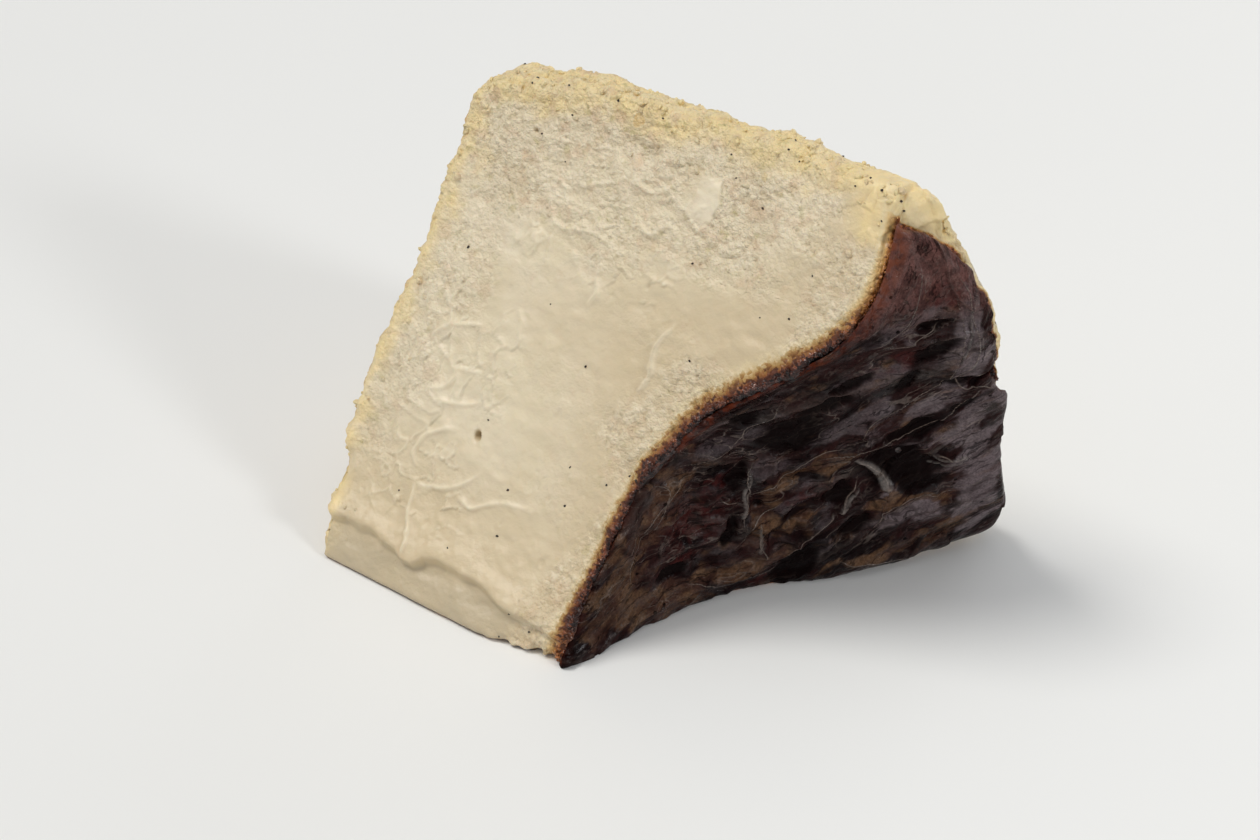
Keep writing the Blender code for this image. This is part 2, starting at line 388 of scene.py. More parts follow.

# %% [markdown]
# Where the blade lifted, it left thin raised strings of cheese. They are curves on the
# front cut, each given by a few places along it in mm: distance along the cake, then
# height. A point's height depends on its distance to the nearest curve.

# %% Strings of smeared cheese
STRINGS = (
    ((-17.5, 54.2), (-16, 52.6), (-15.2, 51.5), (-13.2, 52.5), (-10.3, 53.8)),
    ((-9.8, 57.6), (-8.2, 54.8), (-8.4, 52.6), (-9.4, 51.2)),
    ((-8.8, 54.9), (-6.2, 54.0), (-3.5, 54.6), (-1.8, 56.2)),
    ((-18.7, 50.2), (-18.8, 48), (-16.6, 46.5), (-13.8, 46.9), (-10.5, 47.1), (-8.2, 46.2)),
    ((-10, 47), (-9, 43.5), (-8.4, 41.5), (-8.7, 39.5)),
    ((-6, 50.5), (-3.5, 49.5), (-1.5, 51), (0.5, 50.2)),
    ((1, 52.8), (2.6, 52.0), (4.2, 52.6)),
    ((-12, 57), (-11.2, 55.5), (-12, 53.9)),
    ((-30, 34.5), (-28.4, 33), (-27.8, 31.2), (-29.5, 29.6), (-28.6, 28)),
    ((-27.8, 31.2), (-25.5, 31.8), (-22.8, 32.2)),
    ((-28.8, 28.4), (-27.2, 27.4), (-24.6, 26.7), (-20.4, 27.2)),
    ((-24, 26.4), (-25.7, 24.2), (-28.6, 23)),
    ((-26.2, 22.3), (-22.5, 23.1), (-20, 24)),
    ((-21.8, 20), (-24.2, 19.3), (-26.3, 17.8), (-26.9, 16), (-25.9, 14)),
    ((-25.6, 12.3), (-22, 12.8), (-18.8, 14.2), (-16.4, 16.4)),
    ((-19, 13.4), (-16.4, 12.3), (-14.4, 13.3), (-11.3, 14.8), (-7, 15.2)),
    ((-25.6, 12.1), (-24.8, 9.5), (-23.2, 6.9), (-22.4, 5)),
    ((4.2, 41.5), (2.4, 38.2), (2.8, 35), (1.8, 32)),
)
# The line of the lip: places along the cake, and its height, in mm.
LIP = (
    (-39, 5.6), (-30, 5.4), (-24, 5.0), (-22.4, 4.2), (-21, 4.3), (-19.6, 5.5), (-14, 5.9),
    (-9, 5.4), (-5.5, 4.4), (2, 3.2), (12, 2.6),
)


def densely(knots, count=60):
    """Many places on a smooth curve through a few, by cubics over the knots' numbers."""
    knots = np.array(knots, float)
    number = np.arange(len(knots))
    at = np.linspace(0, len(knots) - 1, count)
    i = np.clip(at.astype(int), 0, len(knots) - 2)
    return cubic((at - i)[:, None], i, 1, knots, np.gradient(knots, number, axis=0))


def distance_to_curve(flat, knots):
    """Distance of flat points to the nearest of the curve's places, the share along it, and
    the side: 1 left of the curve, -1 right of it."""
    curve = densely(knots) * MM
    distance = np.full(len(flat), 1.0)
    share, side = np.zeros(len(flat)), np.ones(len(flat))
    low, high = curve.min(0) - 3 * MM, curve.max(0) + 3 * MM
    near = np.nonzero(((flat > low) & (flat < high)).all(axis=1))[0]
    gaps = np.linalg.norm(flat[near, None] - curve[None], axis=2)
    distance[near] = gaps.min(axis=1)
    nearest = gaps.argmin(axis=1)
    share[near] = nearest / (len(curve) - 1)
    heading, off = np.gradient(curve, axis=0)[nearest], flat[near] - curve[nearest]
    side[near] = np.sign(heading[:, 0] * off[:, 1] - heading[:, 1] * off[:, 0])
    return distance, share, side


def strings(points):
    """Height of the strings: a thin crest on a soft shoulder, fading at both ends."""
    flat = points[:, [0, 2]] + 0.3 * MM * noise(points, 1.7 * MM, 41)[:, None]
    height = np.zeros(len(points))
    for knots in STRINGS:
        distance, share, _ = distance_to_curve(flat, knots)
        fade = 0.3 + 0.7 * smooth(6 * share * (1 - share))
        crest = 0.75 * bump(distance, 0, 0.28 * MM) + 0.25 * bump(distance, 0, 0.8 * MM)
        height = np.maximum(height, fade * crest)
    return height


def web(points):
    """Finer strings, as walls between big bent cells, and 1 where the knife lifted often."""
    x, z = points[:, 0] / MM, points[:, 2] / MM
    high = smooth((x + 24) / 4) * smooth((5 - x) / 4) * smooth((z - 40) / 3) * smooth((59 - z) / 4)
    low = smooth((x + 33) / 3) * smooth((-14 - x) / 4) * smooth((z - 7) / 3) * smooth((38 - z) / 4)
    places = bent(points, 3 * MM, 43, 1.6 * MM) + bent(points, 1.5 * MM, 36, 0.5 * MM) - points
    first, second, owner = cells(places, 4.0 * MM, 44)
    walls = 0.7 * bump(second - first, 0, 0.065) + 0.3 * bump(second - first, 0, 0.2)
    return np.maximum(high, low) * walls * smooth((owner - 0.3) / 0.3), high


print(len(STRINGS), "strings on the front cut")

# %% [markdown]
# Now the relief of the whole crumb is a sum of heights in millimetres. The front cut
# also has a lip near its foot, where the upper part overhangs a smooth band, and one
# flat smear that was dragged up and broke off at a sharp edge.


# %% Relief of the crumb
# Places along the cake and up, with radius and depth, in mm.
PITS = (
    (-18.7, 20.4, 0.5, 1.3), (-25.4, 47.7, 0.35, 0.4), (-16.1, 47, 0.4, 0.3),
    (-6.2, 56, 0.3, 0.4), (-12.9, 50.2, 0.3, 0.3), (7.2, 51.6, 0.35, 0.5),
    (-23.6, 21, 0.3, 0.12), (-8.4, 26.2, 0.25, 0.1), (-8.4, 19.5, 0.3, 0.15),
    (-5.4, 17.3, 0.3, 0.15), (-21.4, 8.9, 0.35, 0.12), (-16.4, 5.6, 0.3, 0.15),
    (-3.3, 10.3, 0.4, 0.2), (-0.7, 7.7, 0.3, 0.2), (-1.5, 44, 0.35, 0.3), (-6, 41.5, 0.25, 0.2),
)


def laid_pits(points):
    """Depth in mm of the listed pits, each a soft round hollow."""
    x, z = points[:, 0] / MM, points[:, 2] / MM
    x = x + 0.2 * noise(points, 0.8 * MM, 53)
    depth = np.zeros(len(points))
    for at_x, at_z, radius, deep in PITS:
        depth = np.maximum(depth, deep * smooth(1.5 - np.hypot(x - at_x, z - at_z) / radius))
    return depth


def dragged_smear(points):
    """A flat raised patch, 1 inside, which ends sharply towards the burnt top."""
    x, z = points[:, 0] / MM, points[:, 2] / MM
    edge = 4.7 - 0.05 * (z - 55) ** 2 + 0.4 * noise(points, 1.5 * MM, 51)
    inside = smooth((edge - x) / 0.5) * smooth((x + 1.5) / 4)
    return inside * smooth((z - 52.3) / 1.2) * smooth((58.6 - z) / 1.5)


def lip_step(points):
    """The front cut rolls out over the lip, draws back just under it and flares at the foot."""
    x, z = points[:, 0] / MM, points[:, 2] / MM
    knots = np.array(LIP)
    line = np.interp(x, knots[:, 0], knots[:, 1]) + 0.35 * noise(points, 2.2 * MM, 52)
    above = z - line
    rolled = smooth(above / 0.9 + 0.3) * (1 + 0.3 * bump(above, 1.2, 1.0))
    rolled = rolled * np.exp(-np.maximum(above, 0) / 8)
    drawn = smooth(0.6 - above / 0.8) * smooth(z / np.maximum(line, 1) * 1.1)
    return (0.8 * rolled - 0.7 * drawn) * smooth((8 - x) / 10)


def tip_facets(points, along):
    """1 at the tip's burnt end, where the cake broke into smooth flat facets."""
    x, z = points[:, 0] / MM, points[:, 2] / MM
    wander = 1.2 * noise(points, 2.5 * MM, 37)
    high = smooth((z - 56 + wander) / 2.5)
    return smooth((x - 19 + wander) / 3) * high * smooth((along - 0.7) / 0.1)


def facet_steps(points):
    """Flat steps in mm, cut off by nearly straight walls: the owners' numbers of large cells."""
    x = points[:, 0] / MM + 0.3 * noise(points, 1.5 * MM, 40)
    first, second, owner = cells(bent(points, 3 * MM, 38, 0.8 * MM) * [1, 1, 0.6], 3.2 * MM, 39)
    flat = 0.9 * (owner - 0.5) * smooth((second - first) / 0.12)
    return flat + 0.7 * smooth((27.6 - x) / 0.35) - 0.4


def foot_scallops(points, across):
    """How far the torn lower edge near the burnt top draws back, in mm, between rounded teeth."""
    x, z = points[:, 0] / MM, points[:, 2] / MM
    teeth = 1.5 * np.abs(noise(points * [1, 0.3, 0.3], 1.7 * MM, 54))
    teeth = teeth + 0.5 * noise(points, 0.9 * MM, 55)
    reach = smooth((x + 9) / 5) * smooth((2.4 - z) / 2.4) * smooth((0.08 - across) / 0.08)
    return 1.3 * reach * (0.25 + teeth)


def corner_notch(points, along, across):
    """The front edge of the base, in mm: a lump 14 mm up, and a hollow below it."""
    z = points[:, 2] / MM
    near = smooth((0.14 - across) / 0.12) * smooth((0.07 - along) / 0.06)
    return near * (0.8 * bump(z, 14.2, 1.6) - 1.0 * bump(z, 10.2, 2.6))


def crumb_relief(points, along, across, up, depth):
    """Height of the crumb over the wedge in mm, its torn mask and its height above valleys."""
    torn = torn_mask(points, depth)
    front, back = smooth((0.04 - across) / 0.04), smooth((across - 0.96) / 0.04)
    edge = np.maximum(smooth((0.03 - along) / 0.03), smooth((up - 0.965) / 0.035))
    smear = front * dragged_smear(points)
    walls, lifted = web(points)
    facets = 0.9 * tip_facets(points, along)
    torn = np.maximum(torn * (1 - 0.3 * lifted), 0.9 * edge) * (1 - smear) * (1 - 0.8 * facets)
    swell = 0.36 * noise(points, 4.5 * MM, 1) + 0.24 * noise(points, 2.2 * MM, 2)
    lumps, pits = rubble(points)
    dimples = 0.16 * holes(points, 3.1 * MM, 64, 0.35, 0.26 * MM)
    soft = 0.11 * noise(points * [0.5, 1, 1], 1.2 * MM, 68) + 0.1 * noise(points, 1.5 * MM, 69)
    soft = soft + 0.05 * noise(points, 0.6 * MM, 70) - dimples - front * laid_pits(points)
    rounded = (0.3 + 0.15 * (along > 0.05)) * edge
    rounded = rounded * curds(bent(points, 2 * MM, 607, MM), 2.6 * MM, 73)
    grain = torn * (0.9 * lumps * (1 + 0.4 * edge) - 0.5 * pits)
    lines = front * np.maximum(strings(points), 0.7 * walls) + back * 1.2 * walls
    height = (0.5 + 0.5 * torn) * swell + grain + rounded + (1 - 0.6 * torn) * soft
    height = height * (1 - 0.4 * facets) + facets * facet_steps(points)
    height = height + 0.43 * lines + front * lip_step(points) + 0.35 * smear
    height = height - 0.55 * smooth((0.03 - along) / 0.03)
    height = height + corner_notch(points, along, across)
    return height, torn, grain + 0.35 * lines + 0.6 * (1 - torn) * soft


print("crumb relief ready")


# %% [markdown]
# The baked base and the rim were pressed against crumpled paper, which left long creases.
# Walls between stretched cells give such creases: the difference of the distances to the
# two nearest seeds is zero exactly half way between them.


# %% Relief of the baked base
def paper_creases(points, seed):
    """Creases from crumpled paper: thin walls between big cells, and a few small ones."""
    warped = points + 3 * MM * noise(points, 11 * MM, seed)[:, None]
    first, second, _ = cells(warped, 13 * MM, seed + 1)
    large = bump(second - first, 0, 0.05)
    first, second, owner = cells(warped, 5 * MM, seed + 2)
    small = bump(second - first, 0, 0.08) * (owner > 0.6)
    return 0.45 * large + 0.2 * small


print("creases ready")

# %% [markdown]
# ## Folds of the burnt skin
#
# The skin swelled in the oven and fell back in long folds. On the real slice they sweep
# down from the tip and bend towards the front cut, like arcs round a far place. So we
# measure places by their distance from that place, across the folds, and by the arc
# along them. Noise that is squeezed along the arcs gives folds. Where it crosses zero
# there is a crest, and between the crests the skin hangs in smooth hollows.

# %% Folds of the burnt skin
SWEEP_Y, SWEEP_Z, SWEEP_ARM = -35 * MM, 60 * MM, 45 * MM


def sweep(points):
    """Distance from the arcs' centre, and the length along the arc."""
    y, z = points[:, 1], points[:, 2]
    flat = np.stack([y, z, 0 * z], -1)
    across = np.hypot(y - SWEEP_Y, z - SWEEP_Z) + 3 * MM * noise(flat, 14 * MM, 11)
    return np.stack([across, np.arctan2(z - SWEEP_Z, y - SWEEP_Y) * SWEEP_ARM, 0 * z], -1)


def top_folds(points):
    """Large folds of the burnt top, in mm, fading towards the tip and the foot."""
    wave = noise(bent(sweep(points), 8 * MM, 111, 2.5 * MM) * [1, 0.42, 1], 5.5 * MM, 12)
    slim = 1 - 0.8 * smooth((points[:, 2] - 42 * MM) / (14 * MM))
    height = 1.0 * (0.42 - 1.5 * np.sqrt(wave ** 2 + 0.006))
    return height * slim * smooth(points[:, 2] / (3 * MM))


print("folds ready")

# %% [markdown]
# ## The crumb
#
# One closed block of grids carries the two cuts, the base, the rim and the ridge. Its
# relief is worked out once for all its points, so that neighbours stay joined. Then its
# faces are shared out to three pieces, because a piece may not be too heavy. The masks
# are stored on the points: how deep a point lies under the burnt skin, how torn it is,
# and how far it belongs to the baked outside.

# %% Build the crumb
BODY_CELLS = (310, 34, 310)
# Heights in mm, and the factor by which the browning is stretched there.
BROWN_REACH = (
    (0, 1.1), (4, 0.9), (9, 0.65), (20, 0.66), (28, 0.72), (33, 0.9), (38, 1.15), (44, 1.05),
    (49, 0.8), (60, 0.65),
)


def crumb_points():
    """Addresses, quads and finished places of the whole crumb, and its masks."""
    address, quads = block_grid(*BODY_CELLS)
    along, across, up = crowded(address, 0.25).T
    points, width = wedge(along, across, up)
    normals = vertex_normals(points, quads)
    depth = np.maximum(below_top(points, across), 0)
    bare = beside_skin(points, across, width)
    on_top = smooth((along - 0.97) / 0.03)
    height, torn, grain = crumb_relief(points, along, across, up, depth)
    base = smooth((0.03 - along) / 0.03) * smooth((across + 0.01) / 0.05)
    height = height + base * (0.9 * paper_creases(points, 71) - 0.5 * height)
    covered = smooth(-bare / (0.8 * MM)) * smooth((across * width - 0.6 * MM) / MM)
    under_skin = top_folds(points) - 0.55
    broken = 0.7 * facet_steps(points) + 0.25 * noise(points, 1.1 * MM, 41) - 0.2
    height = height + on_top * (covered * (under_skin - height) + (1 - covered) * broken)
    thin = smooth((points[:, 2] - 54 * MM) / (8 * MM)) * smooth((along - 0.85) / 0.1)
    foot = smooth(points[:, 2] / (1.6 * MM)) * (up > 0)
    points = points + normals * (height * (1 - 0.35 * thin) * foot * MM)[:, None]
    points[:, 1] += foot_scallops(points, across) * MM
    points[:, 2] = np.maximum(points[:, 2], 0)
    rim = smooth((1.0 * MM - points[:, 2]) / MM) * (up <= 0)
    shelf = np.interp(points[:, 2] / MM, *zip(*BROWN_REACH))
    browned = np.maximum(depth / MM / shelf, (3.5 * bare / MM + 0.2) * (depth < 2 * MM))
    browned = np.minimum(browned, stains(points) + 99 * (across > 0.1))
    masks = dict(browned=browned, torn=torn, baked_base=base, baked_rim=rim, grain=grain,
                 butter=butter_and_glow_mask(points, along, up))
    return address, quads, points, masks


# Browned spots: places along the cake and up, radius in mm, and the browning there.
STAINS = (
    (-10.2, 61.0, 1.0, 2.5), (6.6, 25.4, 1.0, 0.9), (5.4, 24.2, 0.5, 1.6),
    (-15.6, 60.4, 0.8, 3.0), (9.5, 60.2, 0.7, 2.9),
)


def stains(points):
    """Browned spots on the front cut: low in the middle, high outside."""
    x, z = points[:, 0] / MM, points[:, 2] / MM
    wander = 0.5 * noise(points, 1.2 * MM, 56)
    away = [level + 4 * np.maximum(np.hypot(x - at_x, z - at_z) / radius + wander - 0.6, 0)
            for at_x, at_z, radius, level in STAINS]
    return np.min(away, axis=0)


def butter_and_glow_mask(points, along, up):
    """1 where the crumb is yellow: a few mm along the ridge and the base, and the tip. The yellow is
    partly the crumb's own and partly painted glow of light shining through the thin edges.
    """
    z = points[:, 2] / MM
    wander = 1.5 * noise(points, 3 * MM, 57) + 0.9 * noise(points, 1.3 * MM, 58)
    under = (1 - up) * TIP_HEIGHT / MM
    ridge = smooth((4.2 - under + wander) / 3.5)
    left = smooth((4.6 - along * 50 + wander) / 4)
    tip = smooth((z - 56 + wander) / 3) * smooth((along - 0.86) / 0.08)
    # Painted glow: the bare, shaded end of the tip is yellow all over.
    tip = np.maximum(tip, smooth((along - 0.985) / 0.015))
    return np.clip(np.maximum.reduce([ridge, left, tip]), 0, 1)


def vertex_normals(points, quads):
    """Normals of the points, read from a short-lived mesh."""
    piece = new_piece("short_lived", points, quads)
    normals = read_points(piece, "normal")
    bpy.data.meshes.remove(piece.data)
    return normals


def part_of(name, points, quads, masks, chosen):
    """A piece from some of the quads, with only the points that they use."""
    used, index = np.unique(quads[chosen], return_inverse=True)
    piece = new_piece(name, points[used], index.reshape(-1, 4))
    paint(piece, **{mask: values[used] for mask, values in masks.items()})
    return piece


def build_crumb():
    """The crumb, shared out to three pieces by the side of the block a face came from."""
    address, quads, points, masks = crumb_points()
    middle = address[quads].mean(axis=1)
    front, back = middle[:, 1] == 0, middle[:, 1] == 1
    shares = (("front_cut", front), ("back_cut", back), ("baked_sides", ~front & ~back))
    return [part_of(name, points, quads, masks, chosen) for name, chosen in shares]


crumb = build_crumb()
for piece in crumb:
    print(piece.name, 2 * len(piece.data.polygons), "triangles")

# %% [markdown]
# ## The burnt skin
#
# The skin is a sheet of its own, laid over the burnt end of the crumb. Its borders roll
# under, which shows its thickness. The sharpest creases are given as curves: distance
# across the slice, then height, in mm. A few short crests that gleam also have half a
# breadth. Black hollows, painted black as a dark reflection, and patches of mauve
# painted sheen, of tan painted reflection and of wine red are ovals.

# %% Creases and hollows of the skin
CREASES = (
    ((8.7, 51.9), (9.2, 47.8), (10.2, 42.8), (10.8, 38.9), (10.5, 36.3), (9.4, 33.8), (8.1, 31.2),
     (6.5, 28.8), (5.9, 26.8), (6, 24.4)),
    ((14.5, 34.4), (13.8, 32.8), (12.5, 29.6), (10.7, 27.2), (8.6, 24.9), (5.4, 23.4), (1.1, 22.1)),
    ((5.4, 55), (5, 52.1), (4.4, 49.8), (3.4, 47), (1.9, 45.3), (0.4, 43.7)),
    ((-3.8, 34.8), (-3.5, 31.7), (-5.9, 30), (-6, 28.4), (-7.1, 26.2), (-9.9, 25.1), (-14.3, 24.9)),
    ((1.9, 44.2), (4.6, 43.9), (5.6, 44.9), (7.2, 46.7)),
    ((9.4, 52.7), (10.1, 50.2), (10.5, 46.8), (12, 42.5), (12.1, 39.1), (10.8, 36.9)),
    ((14.9, 38.4), (13.6, 37.2), (12.4, 36.7), (10.9, 36.7)),
    ((10.9, 36.7), (12.6, 34.7), (14.3, 34.9), (16.2, 34)),
    ((-4.3, 23.8), (-4.5, 20.9), (-4.3, 18.8), (-4.7, 17.7), (-4.5, 15.3), (-5, 12.5)),
    ((-4.6, 18.1), (-2.4, 18.7), (-0.7, 20.4), (1.4, 22.9), (3.1, 23.8), (5.2, 24)),
    ((5.7, 22.5), (7.2, 21.3), (8.7, 19), (9.6, 16.8)),
    ((6.4, 18.8), (6, 16.9), (5.4, 14.4), (5, 13.4)),
    ((13.4, 22.2), (15.5, 21), (17, 21.3)),
    ((-11.1, 5.5), (-7.4, 3.4), (-4.9, 3), (-1.5, 3.6), (0.9, 4.7)),
    ((9.3, 8.9), (9.6, 11.2), (9.8, 12.8), (11.4, 14.2), (13.7, 14.9), (17.9, 14.3)),
    ((-2.8, 13), (-2.6, 10.3), (-1.3, 5.9)),
    ((0.7, 5.4), (1.6, 8), (2.7, 10.6), (4.3, 12.5), (4.5, 13.5)),
    ((-5.8, 9.5), (-4.1, 12.2), (-2.9, 14), (-1.1, 16.1)),
    ((7, 3.8), (10.5, 2.8), (14.3, 2.4), (19, 2.1)),
    ((-16.6, 23.6), (-13.5, 21.3), (-14.4, 17.9), (-16.8, 14.5), (-18.5, 10.9), (-18.2, 7)),
    ((-11.4, 23), (-13.6, 19.4), (-16.4, 16.7), (-18.9, 12)),
    ((-7.4, 17.9), (-6.2, 17.1), (-5.5, 16.8)),
)
GLEAMS = (
    (0.42, ((5.7, 22.5), (7.2, 21.3), (8.7, 19), (9.6, 16.8))),
    (0.15, ((-4.5, 22.5), (-4.3, 20.6), (-4.7, 19.2), (-4.9, 17.9), (-4.7, 16), (-5, 14.1))),
    (0.17, ((6.6, 17.4), (6, 15.7), (5.3, 13.7))),
    (0.14, ((12.8, 22.3), (14.5, 21.3), (16.6, 21.7))),
    (0.09, ((12.6, 20.9), (14.6, 20.4), (16.4, 20.7))),
    (0.12, ((-3, 12.6), (-2.5, 10.1), (-2.2, 7.6))),
    (0.08, ((11.4, 50.7), (10.3, 47.8), (10.6, 44.2), (10.8, 40))),
)
# Ovals: across the slice, height, half the length, half the width, in mm, turn in degrees.
# Black hollows: shallow real hollows, painted black as a painted dark reflection.
DARK_REFLECTION_HOLLOWS = (
    (7.9, 42.6, 2.0, 1.5, 60), (7.1, 36.6, 2.6, 1.0, 85), (0.9, 32.2, 2.5, 1.3, 60),
    (-1.0, 27.6, 3.6, 2.6, 35), (10.8, 20.6, 4.2, 3.2, 150), (12.6, 17.2, 2.6, 1.8, 20),
    (4.8, 16.8, 2.0, 1.2, 70), (-6.3, 12.6, 2.4, 1.0, 80), (-6.0, 21.4, 3.0, 0.9, 80),
    (-7.8, 23.2, 1.6, 0.7, 20), (2.6, 4.2, 4.2, 2.0, 80), (7.4, 10.6, 2.8, 1.6, 60),
    (10.6, 26.9, 2.8, 0.9, 40), (12.0, 36.2, 1.7, 0.7, 35), (13.4, 31.8, 1.6, 0.6, 60),
    (1.6, 37.2, 2.4, 0.7, 70), (-6.8, 31.8, 1.5, 0.8, 20), (6.8, 46.2, 1.6, 0.5, 10),
    (-3.2, 15.9, 0.9, 0.6, 0), (-12.8, 8.2, 2.4, 1.0, 20), (13.9, 36.4, 1.8, 0.5, 65),
)
# Painted sheen: mauve-grey ovals that stand in for the skin's sheen.
SHEEN_PATCHES = (
    (3.4, 46.8, 3.4, 1.9, 30), (4.0, 38.0, 3.8, 1.9, 75), (10.2, 46.0, 4.6, 1.5, 88),
    (12.0, 40.2, 4.0, 1.7, 105), (10.6, 31.8, 4.0, 1.7, 55), (4.2, 28.2, 3.8, 2.3, 50),
    (15.0, 30.6, 4.0, 1.5, 100), (17.4, 22.5, 5.2, 1.7, 100), (18.8, 15.0, 4.6, 2.0, 100),
    (14.4, 25.4, 2.6, 1.1, 30), (12.8, 12.0, 4.0, 2.2, 0), (-4.6, 29.6, 3.4, 1.8, 50),
    (-8.8, 27.6, 3.2, 1.8, 30), (-2.2, 22.4, 2.4, 1.7, 0), (21.4, 8.4, 3.4, 1.8, 110),
    (19.6, 19.5, 6.0, 2.0, 102), (21.6, 13.0, 4.6, 2.0, 108), (16.6, 34.0, 3.0, 1.2, 105),
    (0.4, 15.6, 2.4, 1.5, 20), (-9.8, 31.0, 2.6, 1.2, 50),
)
# Painted reflection: tan-brown ovals, mostly low and to the left, that stand in for a warm
# reflection.
WARM_REFLECTION_PATCHES = (
    (-20.5, 9.0, 8.0, 4.0, 60), (-15.4, 17.6, 5.4, 2.6, 65), (-13.2, 22.6, 3.6, 1.5, 20),
    (-15.0, 4.0, 8.5, 3.2, 0), (-4.6, 5.2, 5.0, 2.1, 15), (-1.0, 18.6, 3.2, 1.5, 60),
    (-2.6, 12.6, 4.0, 1.4, 95), (0.6, 11.4, 3.2, 1.3, 60), (3.2, 22.2, 3.2, 1.1, 25),
    (13.4, 14.2, 3.6, 0.9, 5), (17.4, 6.6, 4.6, 1.7, 15), (12.0, 4.4, 5.0, 1.0, 10),
    (9.0, 14.8, 1.8, 0.8, 20),
)
WINE = (
    (-10.4, 15.4, 4.6, 2.8, 60), (-8.0, 20.8, 2.4, 1.2, 20), (4.2, 40.8, 2.2, 1.6, 0),
    (0.4, 2.0, 2.6, 1.3, 0), (-11.0, 10.6, 2.8, 1.3, 10), (1.6, 17.2, 1.8, 1.1, 60),
    (7.2, 50.2, 2.4, 1.6, 20),
)


def crease_lines(points):
    """Signed distance in mm to the nearest listed crease, 1 close to one, and its shoulder."""
    flat = points[:, [1, 2]] + 0.25 * MM * noise(points, 1.8 * MM, 42)[:, None]
    nearest, side, close, shoulder = np.ones(len(points)), *np.zeros((3, len(points)))
    for knots in CREASES:
        distance, share, turned = distance_to_curve(flat, knots)
        fade = smooth(7 * share * (1 - share))
        closer = distance / MM < nearest
        side = np.where(closer, turned * distance / MM, side)
        close = np.where(closer, fade * smooth(1.6 - distance / (0.5 * MM)), close)
        nearest = np.minimum(nearest, distance / MM)
        shoulder = np.maximum(shoulder, fade * bump(distance, 0, 0.8 * MM))
    return side, close, shoulder


def gleam_mask(points):
    """1 on the few crests that mirror the light, each with a breadth of its own."""
    mask = np.zeros(len(points))
    for breadth, knots in GLEAMS:
        distance, share, _ = distance_to_curve(points[:, [1, 2]], knots)
        breadth = breadth * MM * (0.45 + 0.75 * share) * smooth(9 * share * (1 - share) + 0.3)
        mask = np.maximum(mask, smooth((1.4 - distance / (breadth + 0.02 * MM)) / 0.7))
    return mask


def laid_patches(points, laid, softness):
    """The strongest of laid ovals, each 1 inside and soft and wavy at its border."""
    flat = bent(points, 2.6 * MM, 45, 0.9 * MM) + bent(points, 1.1 * MM, 48, 0.35 * MM) - points
    y, z = flat[:, 1] / MM, flat[:, 2] / MM
    mask = np.zeros(len(points))
    for at_y, at_z, length, breadth, turn in laid:
        turn = math.radians(turn)
        u = (y - at_y) * math.cos(turn) + (z - at_z) * math.sin(turn)
        v = (z - at_z) * math.cos(turn) - (y - at_y) * math.sin(turn)
        away = np.hypot(u / length, v / breadth)
        mask = np.maximum(mask, smooth((1 - away) / softness + 0.5))
    return mask


print(len(CREASES), "creases,", len(DARK_REFLECTION_HOLLOWS), "black hollows")

# %% [markdown]
# The skin's relief adds its scales one by one: the large folds, bowls between thin
# wrinkles, the laid creases and hollows, branching veins where a noise crosses zero, and
# fine buckles in the duller parts. Burst bubbles left pin holes that are finer than the
# mesh, so the material has them.


# %% Relief of the skin
def crumple(points):
    """Irregular sharp folds, strongest in the middle of the lower half."""
    y, z = points[:, 1] / MM, points[:, 2] / MM
    zone = np.exp(-((y + 3) / 22) ** 2 - ((z - 14) / 13) ** 2)
    places = bent(points, 4 * MM, 46, 1.8 * MM) * [1, 1, 0.7]
    wave = np.abs(noise(places, 3.4 * MM, 47)) + 0.5 * np.abs(noise(places, 1.7 * MM, 49))
    return zone * (0.32 - wave)


def pleats(lanes):
    """Bowls between thin wrinkles: the walls between stretched and bent cells."""
    places = bent(lanes * [1, 0.5, 1], 5 * MM, 27, 2.4 * MM)
    first, second, owner = cells(places, 7 * MM, 28)
    wall = second - first
    strength = smooth(2.2 * owner - 0.3)
    return bump(wall, 0, 0.05) * strength, strength * (1 - smooth(wall / 0.55))


def skin_relief(points, across):
    """Height of the skin over the wedge in mm, and its masks."""
    side, close, shoulder = crease_lines(points)
    gleam = gleam_mask(points)
    hollow = laid_patches(points, DARK_REFLECTION_HOLLOWS, 0.5)
    lanes = sweep(points)
    wrinkle, slope = pleats(lanes)
    wave = noise(bent(lanes, 3 * MM, 114, MM) * [1, 0.6, 1], 2.9 * MM, 14)
    vein = bump(wave, 0, 0.05) * smooth(0.2 + 2 * noise(points, 5 * MM, 17))
    buckle = noise(lanes * [1, 0.6, 1], 1.3 * MM, 13) + 0.4 * noise(lanes * [1, 0.7, 1], 0.7 * MM, 18)
    dull = smooth(0.3 + 1.3 * noise(points, 5 * MM, 15)) * (1 - hollow)
    calm = 1 - 0.7 * smooth((across - 0.7) / 0.25)
    height = calm * (0.45 * top_folds(points) + 0.4 * slope) + 0.4 * shoulder + 0.35 * gleam
    height = height + 1.3 * crumple(points) - 0.45 * hollow + 0.1 * wrinkle
    height = height + (1 - 0.8 * hollow) * (0.06 * vein - 0.18 * calm * np.abs(wave))
    height = height + 0.06 * dull * buckle
    crease = np.maximum(0.5 * vein, 0.6 * wrinkle) * (1 - hollow)
    return height, dict(hollow=hollow, crease=crease, side=side, close=close, gleam=gleam, dull=dull,
                        tan=laid_patches(points, WARM_REFLECTION_PATCHES, 1.0), mauve=laid_patches(points, SHEEN_PATCHES, 1.0),
                        wine=laid_patches(points, WINE, 0.9))


print("skin relief ready")


# %% Build the skin
SKIN_CELLS = 312
CURLS = ((30, 3.5, 0.7), (15, 3.0, 0.3))      # height, reach and depth in mm


def slope_normals(across, level):
    """Unit normals of the burnt top, from the places of near neighbours on the wedge."""
    ones, step = np.ones_like(across), 0.004
    here = [wedge(ones, np.clip(across + da, 0, 1), np.clip(level + du, 0, 1))[0]
            for da, du in ((step, 0), (-step, 0), (0, step), (0, -step))]
    normal = np.cross(here[0] - here[1], here[2] - here[3])
    return normal / np.linalg.norm(normal, axis=1, keepdims=True)


